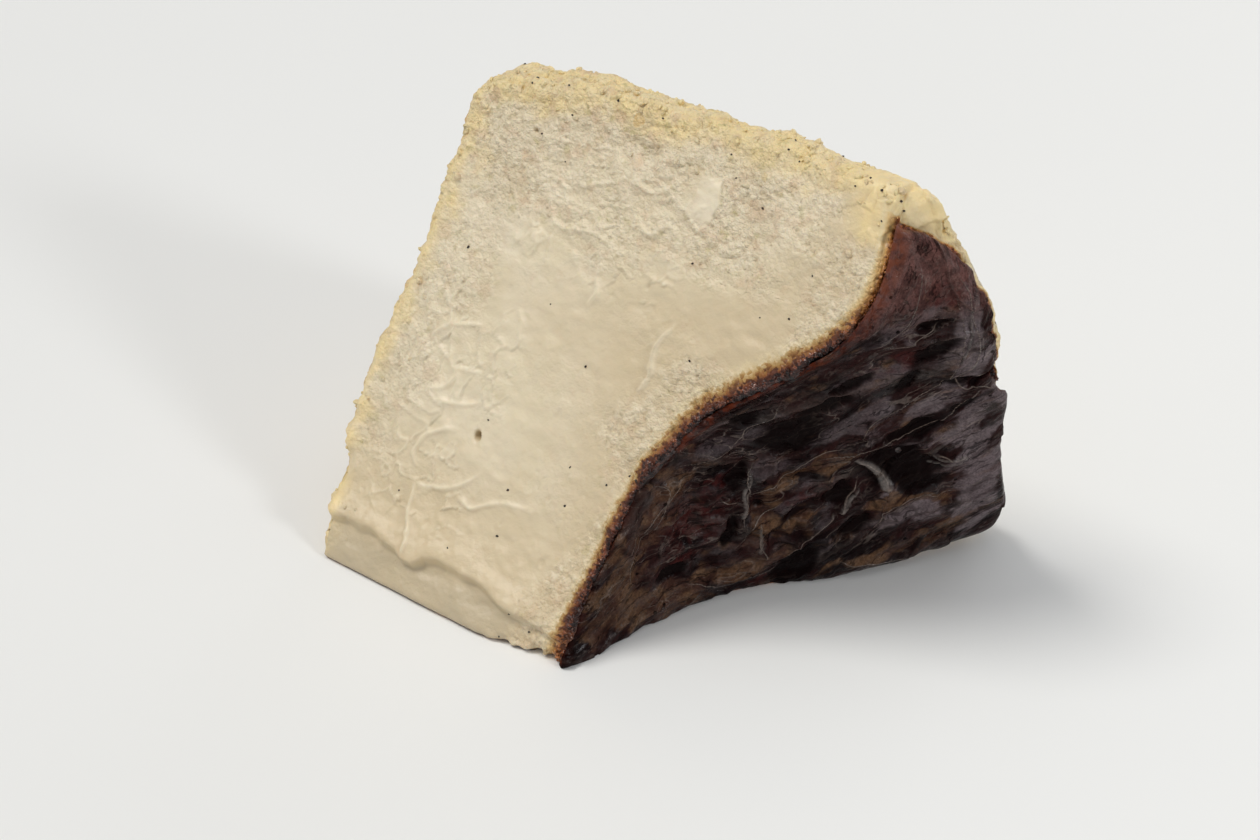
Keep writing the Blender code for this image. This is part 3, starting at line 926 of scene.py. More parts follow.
def build_burnt_skin():
    """A square sheet of two addresses, fitted between the skin's borders row by row."""
    side = np.linspace(0, 1, SKIN_CELLS + 1)
    a, b = [grid.ravel() for grid in np.meshgrid(crowded(side, 0.3), side, indexing="ij")]
    z = b * SKIN_TOP
    row = np.stack([0 * z, 0 * z, z], -1)
    room = (back_cut(40 * MM + 0 * z, z) - front_cut(40 * MM + 0 * z, z)) / MM
    ragged_left = 0.5 * noise(row, 2.4 * MM, 23) + 0.35 * noise(row, 0.9 * MM, 25)
    ragged_left = ragged_left - 0.8 * smooth((z - 43 * MM) / (4 * MM))
    ragged_right = 0.7 * noise(row, 2.6 * MM, 24) + 0.4 * noise(row, 0.8 * MM, 26)
    limit = np.minimum(skin_limit(z), 1)
    start = np.minimum(np.maximum(ragged_left / room, 0), 0.5 * limit)
    limit = limit + ragged_right / room * smooth((1.02 - skin_limit(z)) / 0.08)
    limit = np.minimum(limit, 1)
    across = np.clip(start + (limit - start) * a, 0, 1)
    level = np.clip(z / ridge_height(top_height(across, z), across), 0, 1)
    points, width = wedge(np.ones_like(z), across, level)
    normals = slope_normals(across, level)
    height, masks = skin_relief(points, across)
    from_side = np.minimum(a, 1 - a) * (limit - start) * width / MM
    inside = np.clip(np.minimum(from_side, (SKIN_TOP - z) / MM) / 0.55, 0, 1)
    roll = np.sqrt(1 - (1 - inside) ** 2)
    flap = 1.0 * bump(points[:, 1], -25 * MM, 5 * MM) * smooth((3 * MM - points[:, 2]) / (3 * MM))
    curl = sum(depth * bump(points[:, 2], at * MM, reach * MM) for at, reach, depth in CURLS)
    curl = curl * smooth((across - 0.84) / 0.16)
    swollen = 0.7 * bump(from_side, 1.8, 1.3) * smooth((z - 44 * MM) / (6 * MM))
    height = height * (0.3 + 0.7 * roll) + 0.5 * roll - 0.15 + flap + curl + swollen
    over_edge = (1 - inside) * (a < 0.5) * smooth((z - 42 * MM) / (4 * MM))
    points = points + normals * ((height + 0.35 * over_edge) * MM)[:, None]
    points[:, 1] -= 0.65 * MM * over_edge
    points[:, 2] = np.maximum(points[:, 2], 0.03 * MM)
    index = np.arange(len(a)).reshape(len(side), len(side))
    # Painted sheen by slope: near 1 where the skin faces up, so that the veils are lighter on the
    # upper sides of the folds.
    climb = np.gradient(height[index], SKIN_TOP / MM / SKIN_CELLS, axis=1).ravel()
    masks["lacquer"] = smooth(0.45 - 0.8 * climb)
    piece = new_piece("burnt_skin", points, grid_quads(index))
    border = smooth(1.25 - a * (limit - start) * width / (1.5 * MM))
    paint(piece, rim=1 - roll, border=border, **masks)
    paint_places(piece, "lanes", sweep(points) / MM)
    return piece


skin = build_burnt_skin()
print("burnt skin:", 2 * len(skin.data.polygons), "triangles")

# %% [markdown]
# ## Loose things: crumbs, browned grains and vanilla seeds
#
# They are all small lumps, so one function makes them: a ball of rows and columns,
# flattened, turned at random and dented by noise, copied to every place at once. Each
# is half sunk into the surface that carries it, and keeps the browning of its place.

# %% Lumps
def ball(rows, columns):
    """Points and quads of a unit ball. Each pole is a tiny ring, closed by a strip of quads."""
    polar, around = np.meshgrid(np.linspace(0.05, math.pi - 0.05, rows + 1),
                                np.arange(columns) * 2 * math.pi / columns, indexing="ij")
    points = np.stack([np.sin(polar) * np.cos(around), np.sin(polar) * np.sin(around),
                       np.cos(polar)], -1).reshape(-1, 3)
    index = np.arange(len(points)).reshape(rows + 1, columns)
    turned = np.roll(index, -1, axis=1)
    quads = np.stack([index[:-1], index[1:], turned[1:], turned[:-1]], -1).reshape(-1, 4)
    near = np.arange(columns // 2 - 1)
    far = columns - 1 - near
    top = index[0][np.stack([near, near + 1, far - 1, far], -1)]
    bottom = index[-1][np.stack([far, far - 1, near + 1, near], -1)]
    return points, np.concatenate([quads, top, bottom])


def random_turns(rng, count):
    """Random orthogonal axes, from the QR parts of random matrices."""
    axes, _ = np.linalg.qr(rng.normal(size=(count, 3, 3)))
    return axes * np.where(np.linalg.det(axes) < 0, -1, 1)[:, None, None]


def build_lumps(name, places, normals, radii, squash, seed, rows=7, columns=10):
    """Dented balls at the given places, with the number of points of each."""
    rng = np.random.default_rng(seed)
    unit, quads = ball(rows, columns)
    count = len(places)
    shape = np.array(squash) * rng.uniform(0.75, 1.25, (count, 1, 3))
    local = np.einsum("nij,nkj->nki", random_turns(rng, count), unit[None] * shape)
    local = local * radii[:, None, None]
    spread = local + np.arange(count)[:, None, None] * 3.7 * MM
    dents = noise((spread / radii[:, None, None]).reshape(-1, 3), 0.9, seed).reshape(count, -1, 1)
    local = local * (1 + 0.45 * dents)
    points = places[:, None] - normals[:, None] * radii[:, None, None] * 0.1 + local
    points[..., 2] = np.maximum(points[..., 2], 0.02 * MM)
    faces = quads[None] + np.arange(count)[:, None, None] * len(unit)
    return new_piece(name, points.reshape(-1, 3), faces.reshape(-1, 4)), len(unit)


print("a lump has", 2 * len(ball(7, 10)[1]), "triangles")


# %% Crumbs and grains on the cut faces
def read_mask(piece, name):
    """One painted mask of a piece, as an array."""
    values = np.empty(len(piece.data.vertices), np.float32)
    piece.data.attributes[name].data.foreach_get("value", values)
    return values.astype(float)


places = np.concatenate([read_points(piece) for piece in crumb])
facing = np.concatenate([read_points(piece, "normal") for piece in crumb])
browned, torn, at_base, butter = [np.concatenate([read_mask(piece, name) for piece in crumb])
                                  for name in ("browned", "torn", "baked_base", "butter")]
height_mm, length_mm = places[:, 2] / MM, places[:, 0] / MM
on_ridge = smooth((height_mm - 54) / 6) * smooth((browned - 0.8) / 0.5)
on_left = smooth((-30 - length_mm) / 4) * (1 - at_base)
near_skin = smooth((3.5 - browned) / 1.5) * smooth((browned - 1.1) / 0.4)
upright = 0.12 + smooth((facing[:, 2] - 0.45) / 0.3) + smooth((-facing[:, 0] - 0.3) / 0.3)
crumb_chance = (on_ridge + 0.6 * on_left + 0.2 * near_skin) * torn * upright * (height_mm > 1.5)
grain_chance = smooth((1.5 - browned) / 0.5) * smooth((browned - 0.1) / 0.2) * (height_mm > 0.6)
print("places to choose from:", len(places))


def build_on_crumb(name, chance, count, small, large, squash, seed):
    """Lumps at random places, picked by chance, painted like the place that carries them.
    Small and large are radii in mm, and most lumps are small."""
    rng = np.random.default_rng(seed)
    chosen = rng.choice(len(places), count, replace=False, p=chance / chance.sum())
    radii = (small + (large - small) * rng.random(count) ** 2) * MM
    piece, each = build_lumps(name, places[chosen], facing[chosen], radii, squash, seed)
    paint(piece, browned=np.repeat(browned[chosen], each), torn=np.ones(count * each),
          grain=np.full(count * each, 0.1), butter=np.repeat(butter[chosen], each))
    return piece


CRUMBS, GRAINS = 260, 1100
edge_crumbs = build_on_crumb("edge_crumbs", crumb_chance, CRUMBS, 0.25, 0.7, (1, 0.75, 0.6), 81)
dark_grains = build_on_crumb("browned_grains", grain_chance, GRAINS, 0.1, 0.3, (1, 0.8, 0.6), 82)
print("crumbs and grains:", 2 * len(edge_crumbs.data.polygons), 2 * len(dark_grains.data.polygons))

# %% [markdown]
# Vanilla seeds are about a third of a millimetre long. The ones on the front cut lie
# where we want them, given in mm as distance along the cake and height. The others are
# scattered on the ridge and the back cut.

# %% Vanilla seeds
SEEDS = (
    (-21.9, 61.7), (-13.9, 62.2), (-19.1, 53.3), (-23.3, 55.6), (-17.9, 22.6), (-27.3, 11),
    (-11.6, 16.2), (-10.7, 11.2), (-16.8, 8), (-4.6, 4.5), (11.2, 63.9), (12.8, 62.7),
    (21.7, 63), (25.1, 63.4), (22.9, 64), (27.6, 62.6), (28.2, 61.4), (26.4, 60.4), (19.9, 52),
    (-3.9, 21.8), (2, 21.6), (4.5, 23.4), (-2.9, 17.4), (-1.6, 2.8), (-5.5, 1.1), (4.8, 20.2),
    (5.8, 23.4), (14.8, 45.5), (18.7, 46.6), (-14.4, 37.8), (-29, 40.2), (3.5, 48.5),
    (-6.5, 33), (7.6, 38.4),
)
LOOSE_SEEDS = 60
SEED_RADII = (0.14 * MM, 0.22 * MM)


def build_seeds():
    """Laid seeds at the nearest points of the front cut, and loose ones picked by chance."""
    rng = np.random.default_rng(83)
    wanted = np.array(SEEDS) * MM
    on_front = np.nonzero(facing[:, 1] < -0.3)[0]
    gaps = np.hypot(places[on_front, 0] - wanted[:, :1], places[on_front, 2] - wanted[:, 1:])
    laid = on_front[gaps.argmin(axis=1)]
    free = (browned > 2.5) * (height_mm > 2) * (1 - at_base) * ((facing[:, 1] > 0.3) + on_ridge)
    loose = rng.choice(len(places), LOOSE_SEEDS, replace=False, p=free / free.sum())
    chosen = np.concatenate([laid, loose])
    radii = rng.uniform(*SEED_RADII, len(chosen))
    return build_lumps("vanilla_seeds", places[chosen], facing[chosen], radii, (1, 0.85, 0.7), 84)[0]


vanilla = build_seeds()
print("seeds:", 2 * len(vanilla.data.polygons), "triangles")

# %% [markdown]
# ## Materials
#
# A material is a small network of nodes. We write a few helpers first. They make a node
# and fill its inputs, with a value or a link, so that a material reads like a sum: masks
# are multiplied where both must be there, and tones are laid over one another.


# %% Node helpers
def add(tree, kind, *values, **settings):
    """A new node. Values fill its inputs in order, as numbers, colours or links, and
    named settings fill its properties, or inputs by name where no property fits."""
    node = tree.nodes.new(kind)
    for name, value in settings.items():
        if hasattr(node, name):
            setattr(node, name, value)
        else:
            fill(tree, node.inputs[name.replace("_", " ")], value)
    for socket, value in zip(node.inputs, values):
        if value is not None:
            fill(tree, socket, value)
    return node


def fill(tree, socket, value):
    """Links a socket or a node's first output, or sets a plain value."""
    if isinstance(value, bpy.types.NodeSocket):
        tree.links.new(value, socket)
    elif isinstance(value, bpy.types.Node):
        tree.links.new(value.outputs[0], socket)
    else:
        socket.default_value = value


def new_material(name):
    """A material, its node tree and its Principled shader."""
    material = bpy.data.materials.new(name)
    material.use_nodes = True
    tree = material.node_tree
    return material, tree, tree.nodes["Principled BSDF"]


def mix_colour(tree, share, first, second):
    """First colour where the share is 0, second where it is 1."""
    node = tree.nodes.new("ShaderNodeMix")
    node.data_type = "RGBA"
    for socket, value in ((node.inputs[0], share), (node.inputs[6], first), (node.inputs[7], second)):
        fill(tree, socket, value)
    return node.outputs[2]


def layered(tree, colour, *layers):
    """Lays tones over a colour one after the other, each as strongly as its mask."""
    for share, tone in layers:
        colour = mix_colour(tree, share, colour, tone)
    return colour


def maths(tree, operation, *values):
    """One sum, product or other operation on values or sockets."""
    return add(tree, "ShaderNodeMath", *values, operation=operation).outputs[0]


def between(tree, value, low, high, out_low=0.0, out_high=1.0):
    """Stretches low..high to out_low..out_high, softly and clamped."""
    node = add(tree, "ShaderNodeMapRange", value, low, high, out_low, out_high,
               interpolation_type="SMOOTHSTEP")
    return node.outputs[0]


def rgb(red, green, blue):
    """A screen colour from 0 to 255 as the linear colour that shaders use."""
    channels = [((c / 255 + 0.055) / 1.055) ** 2.4 for c in (red, green, blue)]
    return (*channels, 1)


def times(tree, first, second):
    """The product of two values, for masks that must both be there."""
    return maths(tree, "MULTIPLY", first, second)


def larger(tree, first, second):
    """The larger of two values, for masks of which one is enough."""
    return maths(tree, "MAXIMUM", first, second)


def attribute(tree, name):
    """A mask that was painted on the points."""
    return add(tree, "ShaderNodeAttribute", attribute_name=name).outputs["Fac"]


def stretch(tree, place, factors):
    """Places multiplied by a factor of their own in each direction."""
    return add(tree, "ShaderNodeVectorMath", place, factors, operation="MULTIPLY").outputs[0]


def shifted(tree, place, shift):
    """Places moved by the same shift in each direction, so that a noise differs there."""
    return add(tree, "ShaderNodeVectorMath", place, (shift,) * 3, operation="ADD").outputs[0]


def object_places(tree):
    """Object coordinates, counted in millimetres."""
    return stretch(tree, tree.nodes.new("ShaderNodeTexCoord").outputs["Object"], (1000,) * 3)


def spots(tree, place, scale, detail=2.0, roughness=0.5):
    """Soft noise with features of about one over scale millimetres."""
    return add(tree, "ShaderNodeTexNoise", place, Scale=scale, Detail=detail,
               Roughness=roughness).outputs["Fac"]


print("node helpers ready")


# %% [markdown]
# ### Fine grain, shared by every pale surface
#
# The mesh holds curds down to half a millimetre. Finer grain is a bump. It is used by
# the crumb, the loose crumbs and the baked base, so it is one group with its own inputs.


# %% The grain group
def new_group(name, inputs, outputs):
    """A shader group with float inputs (name, default) and outputs (name, kind)."""
    group = bpy.data.node_groups.new(name, "ShaderNodeTree")
    for label, default in inputs:
        socket = group.interface.new_socket(label, in_out="INPUT", socket_type="NodeSocketFloat")
        socket.default_value = default
    for label, kind in outputs:
        group.interface.new_socket(label, in_out="OUTPUT", socket_type="NodeSocket" + kind)
    return group, group.nodes.new("NodeGroupInput"), group.nodes.new("NodeGroupOutput")


def grain_group():
    """Height and pores of the grain: round curds of two sizes, soft noise and pores."""
    group, given, result = new_group(
        "fine_grain", (("Torn", 0.5), ("Scale", 1.0)), (("Height", "Float"), ("Pores", "Float")))
    place = object_places(group)
    place = add(group, "ShaderNodeVectorMath", place, operation="SCALE", Scale=given.outputs["Scale"])
    curd = add(group, "ShaderNodeTexVoronoi", place.outputs[0], Scale=1.7, Randomness=1.0)
    small = add(group, "ShaderNodeTexVoronoi", place.outputs[0], Scale=3.6, Randomness=1.0)
    soft = spots(group, place.outputs[0], 0.9, 4.0, 0.6)
    lumps = maths(group, "ADD", times(group, curd.outputs["Distance"], -0.9),
                  times(group, small.outputs["Distance"], -0.5))
    pores = between(group, spots(group, place.outputs[0], 1.5, 3.0, 0.7), 0.62, 0.72)
    rough = maths(group, "SUBTRACT", lumps, times(group, pores, 0.8))
    rough = times(group, rough, given.outputs["Torn"])
    height = maths(group, "ADD", rough, times(group, soft, 0.5))
    group.links.new(height, result.inputs["Height"])
    group.links.new(times(group, pores, given.outputs["Torn"]), result.inputs["Pores"])
    return group


GRAIN = grain_group()
print("group:", GRAIN.name)

# %% [markdown]
# ### Browning, shared by the crumb and the crumbs
#
# Heat browned the cake from the top down. Colour follows depth: nearly black at the
# skin, red-brown, amber, pale yellow, then cream. The depth is shaken by noise, so that
# single grains are darker or paler than their neighbours, and a few of them glint.


# %% The browning group
def ramp(tree, value, stops):
    """Colours by value: each stop has its value and its colour."""
    node = add(tree, "ShaderNodeValToRGB", value)
    elements = node.color_ramp.elements
    while len(elements) < len(stops):
        elements.new(0.5)
    for element, (at, colour) in zip(elements, stops):
        element.position = at
        element.color = colour
    return node.outputs["Color"]


def browning_group():
    """Colour by depth under the skin, how strong it is, and which grains glint."""
    group, given, result = new_group(
        "browning", (("Depth", 9.0), ("Amber", 0.0)),
        (("Colour", "Color"), ("Amount", "Float"), ("Glint", "Float")))
    place = object_places(group)
    grains = add(group, "ShaderNodeTexVoronoi", place, Scale=2.2, Randomness=1.0)
    each = add(group, "ShaderNodeSeparateColor", grains.outputs["Color"]).outputs["Red"]
    shake = maths(group, "MULTIPLY_ADD", each, 0.7, -0.35)
    sway = maths(group, "MULTIPLY_ADD", spots(group, place, 0.4, 4.0, 0.6), 1.6, -0.8)
    shaken = maths(group, "ADD", shake, sway)
    calmer = maths(group, "MULTIPLY_ADD", given.outputs["Amber"], -0.5, 1.0)
    depth = maths(group, "MULTIPLY_ADD", shaken, calmer, given.outputs["Depth"])
    share = maths(group, "DIVIDE", depth, 5.0)
    dark = ((0.0, rgb(24, 9, 7)), (0.14, rgb(58, 23, 12)), (0.27, rgb(108, 52, 22)),
            (0.37, rgb(142, 92, 42)), (0.47, rgb(182, 146, 88)), (0.64, rgb(224, 206, 166)))
    amber = ((0.0, rgb(124, 62, 34)), (0.12, rgb(152, 84, 36)), (0.24, rgb(182, 116, 54)),
             (0.36, rgb(206, 160, 94)), (0.5, rgb(220, 192, 138)), (0.66, rgb(228, 211, 172)))
    colour = mix_colour(group, given.outputs["Amber"], ramp(group, share, dark),
                        ramp(group, share, amber))
    deep = between(group, share, 0.42, 0.3)
    patchy = add(group, "ShaderNodeMapRange", each, 0.0, 1.0, 0.4, 1.45)
    patchy = maths(group, "MULTIPLY_ADD", deep, maths(group, "ADD", patchy, -1.0), 1.0)
    colour = add(group, "ShaderNodeVectorMath", colour, operation="SCALE", Scale=patchy).outputs[0]
    group.links.new(colour, result.inputs["Colour"])
    group.links.new(between(group, share, 0.84, 0.5), result.inputs["Amount"])
    group.links.new(times(group, deep, between(group, each, 0.74, 0.8)), result.inputs["Glint"])
    return group


BROWNING = browning_group()
print("group:", BROWNING.name)


# %% The cream cheese material
def use_group(tree, group, **inputs):
    """A group placed in a material, with its inputs filled by name."""
    node = tree.nodes.new("ShaderNodeGroup")
    node.node_tree = group
    for name, value in inputs.items():
        fill(tree, node.inputs[name], value)
    return node


IVORY, DEEP_IVORY = rgb(236, 223, 195), rgb(229, 215, 184)
BAKED_AND_SHADED, PAINTED_HIGHLIGHT, BUTTER_AND_GLOW = rgb(206, 185, 148), rgb(242, 229, 201), rgb(240, 216, 160)
ROSY, OLIVE, LIP_SHADE = rgb(208, 176, 142), rgb(184, 170, 112), rgb(192, 177, 148)
VALLEY_SHADE, PORE_SHADE = rgb(178, 154, 108), rgb(170, 146, 104)


def cream_colour(tree, place, torn, grain):
    """Ivory with clouds and yellow near the ridge, the base and the tip, with painted glow there,
    painted highlights on the crests, and painted shade in the valleys, the pores, under the lip and
    towards the foot.
    """
    cloud = between(tree, spots(tree, place, 0.12, 3.0), 0.35, 0.65)
    tall = add(tree, "ShaderNodeSeparateXYZ", place).outputs["Z"]
    # Darker near the skin, where the crumb browned, and towards the foot, where it is painted shade
    # of light that falls off; the torn crumb is darker too.
    near_skin = between(tree, attribute(tree, "browned"), 34.0, 3.0, 0.0, 0.75)
    baked = larger(tree, near_skin, between(tree, tall, 30.0, 3.0, 0.0, 0.8))
    baked = larger(tree, baked, times(tree, torn, 0.45))
    relief = attribute(tree, "grain")
    # Painted highlight: the raised crests of the grain are made paler.
    crest = between(tree, relief, 0.04, 0.28, 0.0, 0.45)
    # Partly the crumb's yellow, partly painted glow of light shining through the thin edges.
    butter = times(tree, attribute(tree, "butter"),
                   between(tree, spots(tree, place, 0.4, 3.0), 0.36, 0.62, 0.6, 0.95))
    rosy = times(tree, torn, between(tree, spots(tree, place, 0.45, 3.0), 0.52, 0.7, 0.0, 0.5))
    olive = times(tree, torn, between(tree, spots(tree, place, 0.6, 2.0, 0.4), 0.6, 0.74, 0.0, 0.5))
    # Painted shade: the smooth band under the lip, near the foot, is darker and greyer.
    lip_shade = times(tree, between(tree, tall, 6.0, 3.8), between(tree, torn, 0.5, 0.1))
    # Painted shade: the crumb is darker in the valleys between the curds.
    valley_shade = between(tree, relief, -0.05, -0.55, 0.0, 0.55)
    # Painted shade: the fine pores are darker.
    pores = times(tree, grain.outputs["Pores"], 0.25)
    return layered(tree, IVORY, (cloud, DEEP_IVORY), (baked, BAKED_AND_SHADED), (crest, PAINTED_HIGHLIGHT),
                   (butter, BUTTER_AND_GLOW), (rosy, ROSY), (olive, OLIVE), (times(tree, lip_shade, 0.8), LIP_SHADE),
                   (valley_shade, VALLEY_SHADE), (pores, PORE_SHADE))


GOLD, DEEP_GOLD = rgb(226, 202, 152), rgb(200, 156, 98)
RIM_BROWN, DARK_RIM = rgb(176, 118, 56), rgb(104, 56, 26)


def baked_colour(tree, place, colour):
    """The browned band under the skin, the golden base and the brown rim."""
    tall = add(tree, "ShaderNodeSeparateXYZ", place).outputs["Z"]
    amber = larger(tree, between(tree, tall, 46.0, 54.0), between(tree, tall, 6.0, 2.0, 0.0, 0.7))
    toast = use_group(tree, BROWNING, Depth=attribute(tree, "browned"), Amber=amber)
    gold = mix_colour(tree, between(tree, spots(tree, place, 0.11, 6.0, 0.7), 0.35, 0.72),
                      GOLD, DEEP_GOLD)
    brown = mix_colour(tree, between(tree, spots(tree, place, 0.2, 5.0), 0.35, 0.62),
                       RIM_BROWN, DARK_RIM)
    colour = layered(tree, colour, (toast.outputs["Amount"], toast.outputs["Colour"]),
                     (attribute(tree, "baked_base"), gold), (attribute(tree, "baked_rim"), brown))
    return colour, toast.outputs


def cream_cheese():
    """The pale material: colours by mask, a fine bump, and a coat on the glinting grains."""
    material, tree, shader = new_material("baked_cream_cheese")
    place = object_places(tree)
    torn = attribute(tree, "torn")
    grain = use_group(tree, GRAIN, Torn=torn)
    colour = cream_colour(tree, place, torn, grain)
    colour, toasted = baked_colour(tree, place, colour)
    fill(tree, shader.inputs["Base Color"], colour)
    dry = between(tree, torn, 0.0, 1.0, 0.45, 0.5)
    fill(tree, shader.inputs["Roughness"],
         add(tree, "ShaderNodeMapRange", toasted["Amount"], 0.0, 1.0, dry, 0.36))
    bumps = add(tree, "ShaderNodeBump", Strength=0.85, Distance=0.0003,
                Height=grain.outputs["Height"])
    fill(tree, shader.inputs["Normal"], bumps)
    fill(tree, shader.inputs["Coat Weight"], times(tree, toasted["Glint"], 0.7))
    fill(tree, shader.inputs["Coat Normal"], bumps)
    shader.inputs["Coat Roughness"].default_value = 0.12
    shader.inputs["Subsurface Weight"].default_value = 0.12
    shader.inputs["Subsurface Radius"].default_value = (1.0, 0.6, 0.3)
    shader.inputs["Subsurface Scale"].default_value = 0.0012
    shader.inputs["Specular IOR Level"].default_value = 0.5
    return material


cream = cream_cheese()
for piece in crumb + [edge_crumbs, dark_grains]:
    piece.data.materials.append(cream)
print("materials:", [m.name for m in bpy.data.materials])


# %% [markdown]
# ### The burnt skin
#
# Sugar and butter burnt to a thin dark lacquer. Its ground is nearly black, with wine-red
# patches and a purple-brown tip. Painted light lies over it: mauve veils of painted sheen,
# tan veils of painted reflection, black hollows of painted dark reflection, and paler
# lines of painted highlight. One noise for everything would look like camouflage, so each
# colour has a laid patch that its own noise breaks up. The noises read `lanes`, places
# measured along the folds, and flow with them. A clear coat all over would turn the skin
# grey, so it is strong only on the wrinkles and the few crests that gleam.


# %% The burnt skin material
def laid_veil(tree, name, lanes, shift, scale):
    """A laid patch of painted light on the skin, broken up by noise that runs along the folds."""
    moved = shifted(tree, lanes, shift)
    broken = maths(tree, "MULTIPLY_ADD", attribute(tree, name), 0.24,
                   spots(tree, moved, scale, 4.0, 0.5))
    return between(tree, broken, 0.56, 0.74)


SOOT, DARK_BROWN, SHEEN_TONE = rgb(17, 4, 5), rgb(40, 19, 18), rgb(98, 86, 88)
WARM_REFLECTION, PALE_WARM_REFLECTION, TIP_PURPLE = rgb(68, 44, 35), rgb(98, 72, 52), rgb(100, 68, 63)
WINE_RED, DARK_REFLECTION_AND_SHADE, PAINTED_LINE_HIGHLIGHT = rgb(66, 24, 22), rgb(12, 4, 4), rgb(128, 112, 102)
EMBER, PALE_EMBER = rgb(98, 42, 22), rgb(122, 66, 44)


def skin_colour(tree, place, lanes, tall, veils, lines, pool):
    """Dark ground, wine patches and a purple-brown tip, with painted sheen in mauve, painted
    reflection in tan, painted dark reflection in the black hollows and painted highlight on the
    lines.
    """
    ground = between(tree, spots(tree, lanes, 0.22, 5.0, 0.6), 0.38, 0.62)
    # Painted sheen in mauve, stronger towards the right of the skin.
    mauve = times(tree, veils[0], between(tree, tall["Y"], -4.0, 20.0, 0.4, 1.5))
    # Painted reflection in tan-brown.
    warm_reflection = mix_colour(tree, between(tree, spots(tree, place, 0.3, 4.0), 0.4, 0.6),
                       WARM_REFLECTION, PALE_WARM_REFLECTION)
    tip = times(tree, between(tree, tall["Z"], 45.0, 53.0),
                between(tree, spots(tree, place, 0.5, 5.0, 0.65), 0.36, 0.6, 0.4, 1.0))
    wine = times(tree, attribute(tree, "wine"),
                 between(tree, spots(tree, place, 0.5, 4.0), 0.38, 0.6))
    colour = layered(tree, SOOT, (ground, DARK_BROWN), (mauve, SHEEN_TONE),
                     (times(tree, veils[1], 0.9), warm_reflection), (tip, TIP_PURPLE),
                     (times(tree, wine, 0.65), WINE_RED), (times(tree, pool, 0.95), DARK_REFLECTION_AND_SHADE),
                     (times(tree, lines, 0.55), PAINTED_LINE_HIGHLIGHT))
    speck = between(tree, spots(tree, place, 2.6, 4.0, 0.75), 0.36, 0.64, 0.72, 1.28)
    colour = add(tree, "ShaderNodeVectorMath", colour, operation="SCALE", Scale=speck).outputs[0]
    glow = mix_colour(tree, between(tree, tall["Z"], 47.0, 56.0), EMBER, PALE_EMBER)
    margin = times(tree, attribute(tree, "border"), between(tree, tall["Z"], 22.0, 30.0, 0.1, 0.8))
    edge = larger(tree, attribute(tree, "rim"), margin)
    ember = times(tree, edge, between(tree, spots(tree, place, 0.8, 5.0, 0.6), 0.38, 0.6, 0.1, 1.0))
    return mix_colour(tree, times(tree, ember, 0.85), colour, glow)


def fine_lines(tree, lanes, scale, width, shift):
    """Thin broken wrinkles where a noise crosses its middle value, kept where another is high."""
    moved = shifted(tree, lanes, shift)
    off = maths(tree, "ABSOLUTE", maths(tree, "ADD", spots(tree, moved, scale, 3.0, 0.45), -0.5))
    kept = between(tree, spots(tree, moved, scale * 0.7, 3.0), 0.46, 0.56)
    return times(tree, between(tree, off, width, 0.2 * width), kept)


def pin_holes(tree, place):
    """Small round holes left by bubbles, at a few of many scattered places."""
    dots = add(tree, "ShaderNodeTexVoronoi", place, Scale=0.42, Randomness=1.0)
    some = add(tree, "ShaderNodeSeparateColor", dots.outputs["Color"]).outputs["Red"]
    return times(tree, between(tree, dots.outputs["Distance"], 0.13, 0.07),
                 between(tree, some, 0.5, 0.6))


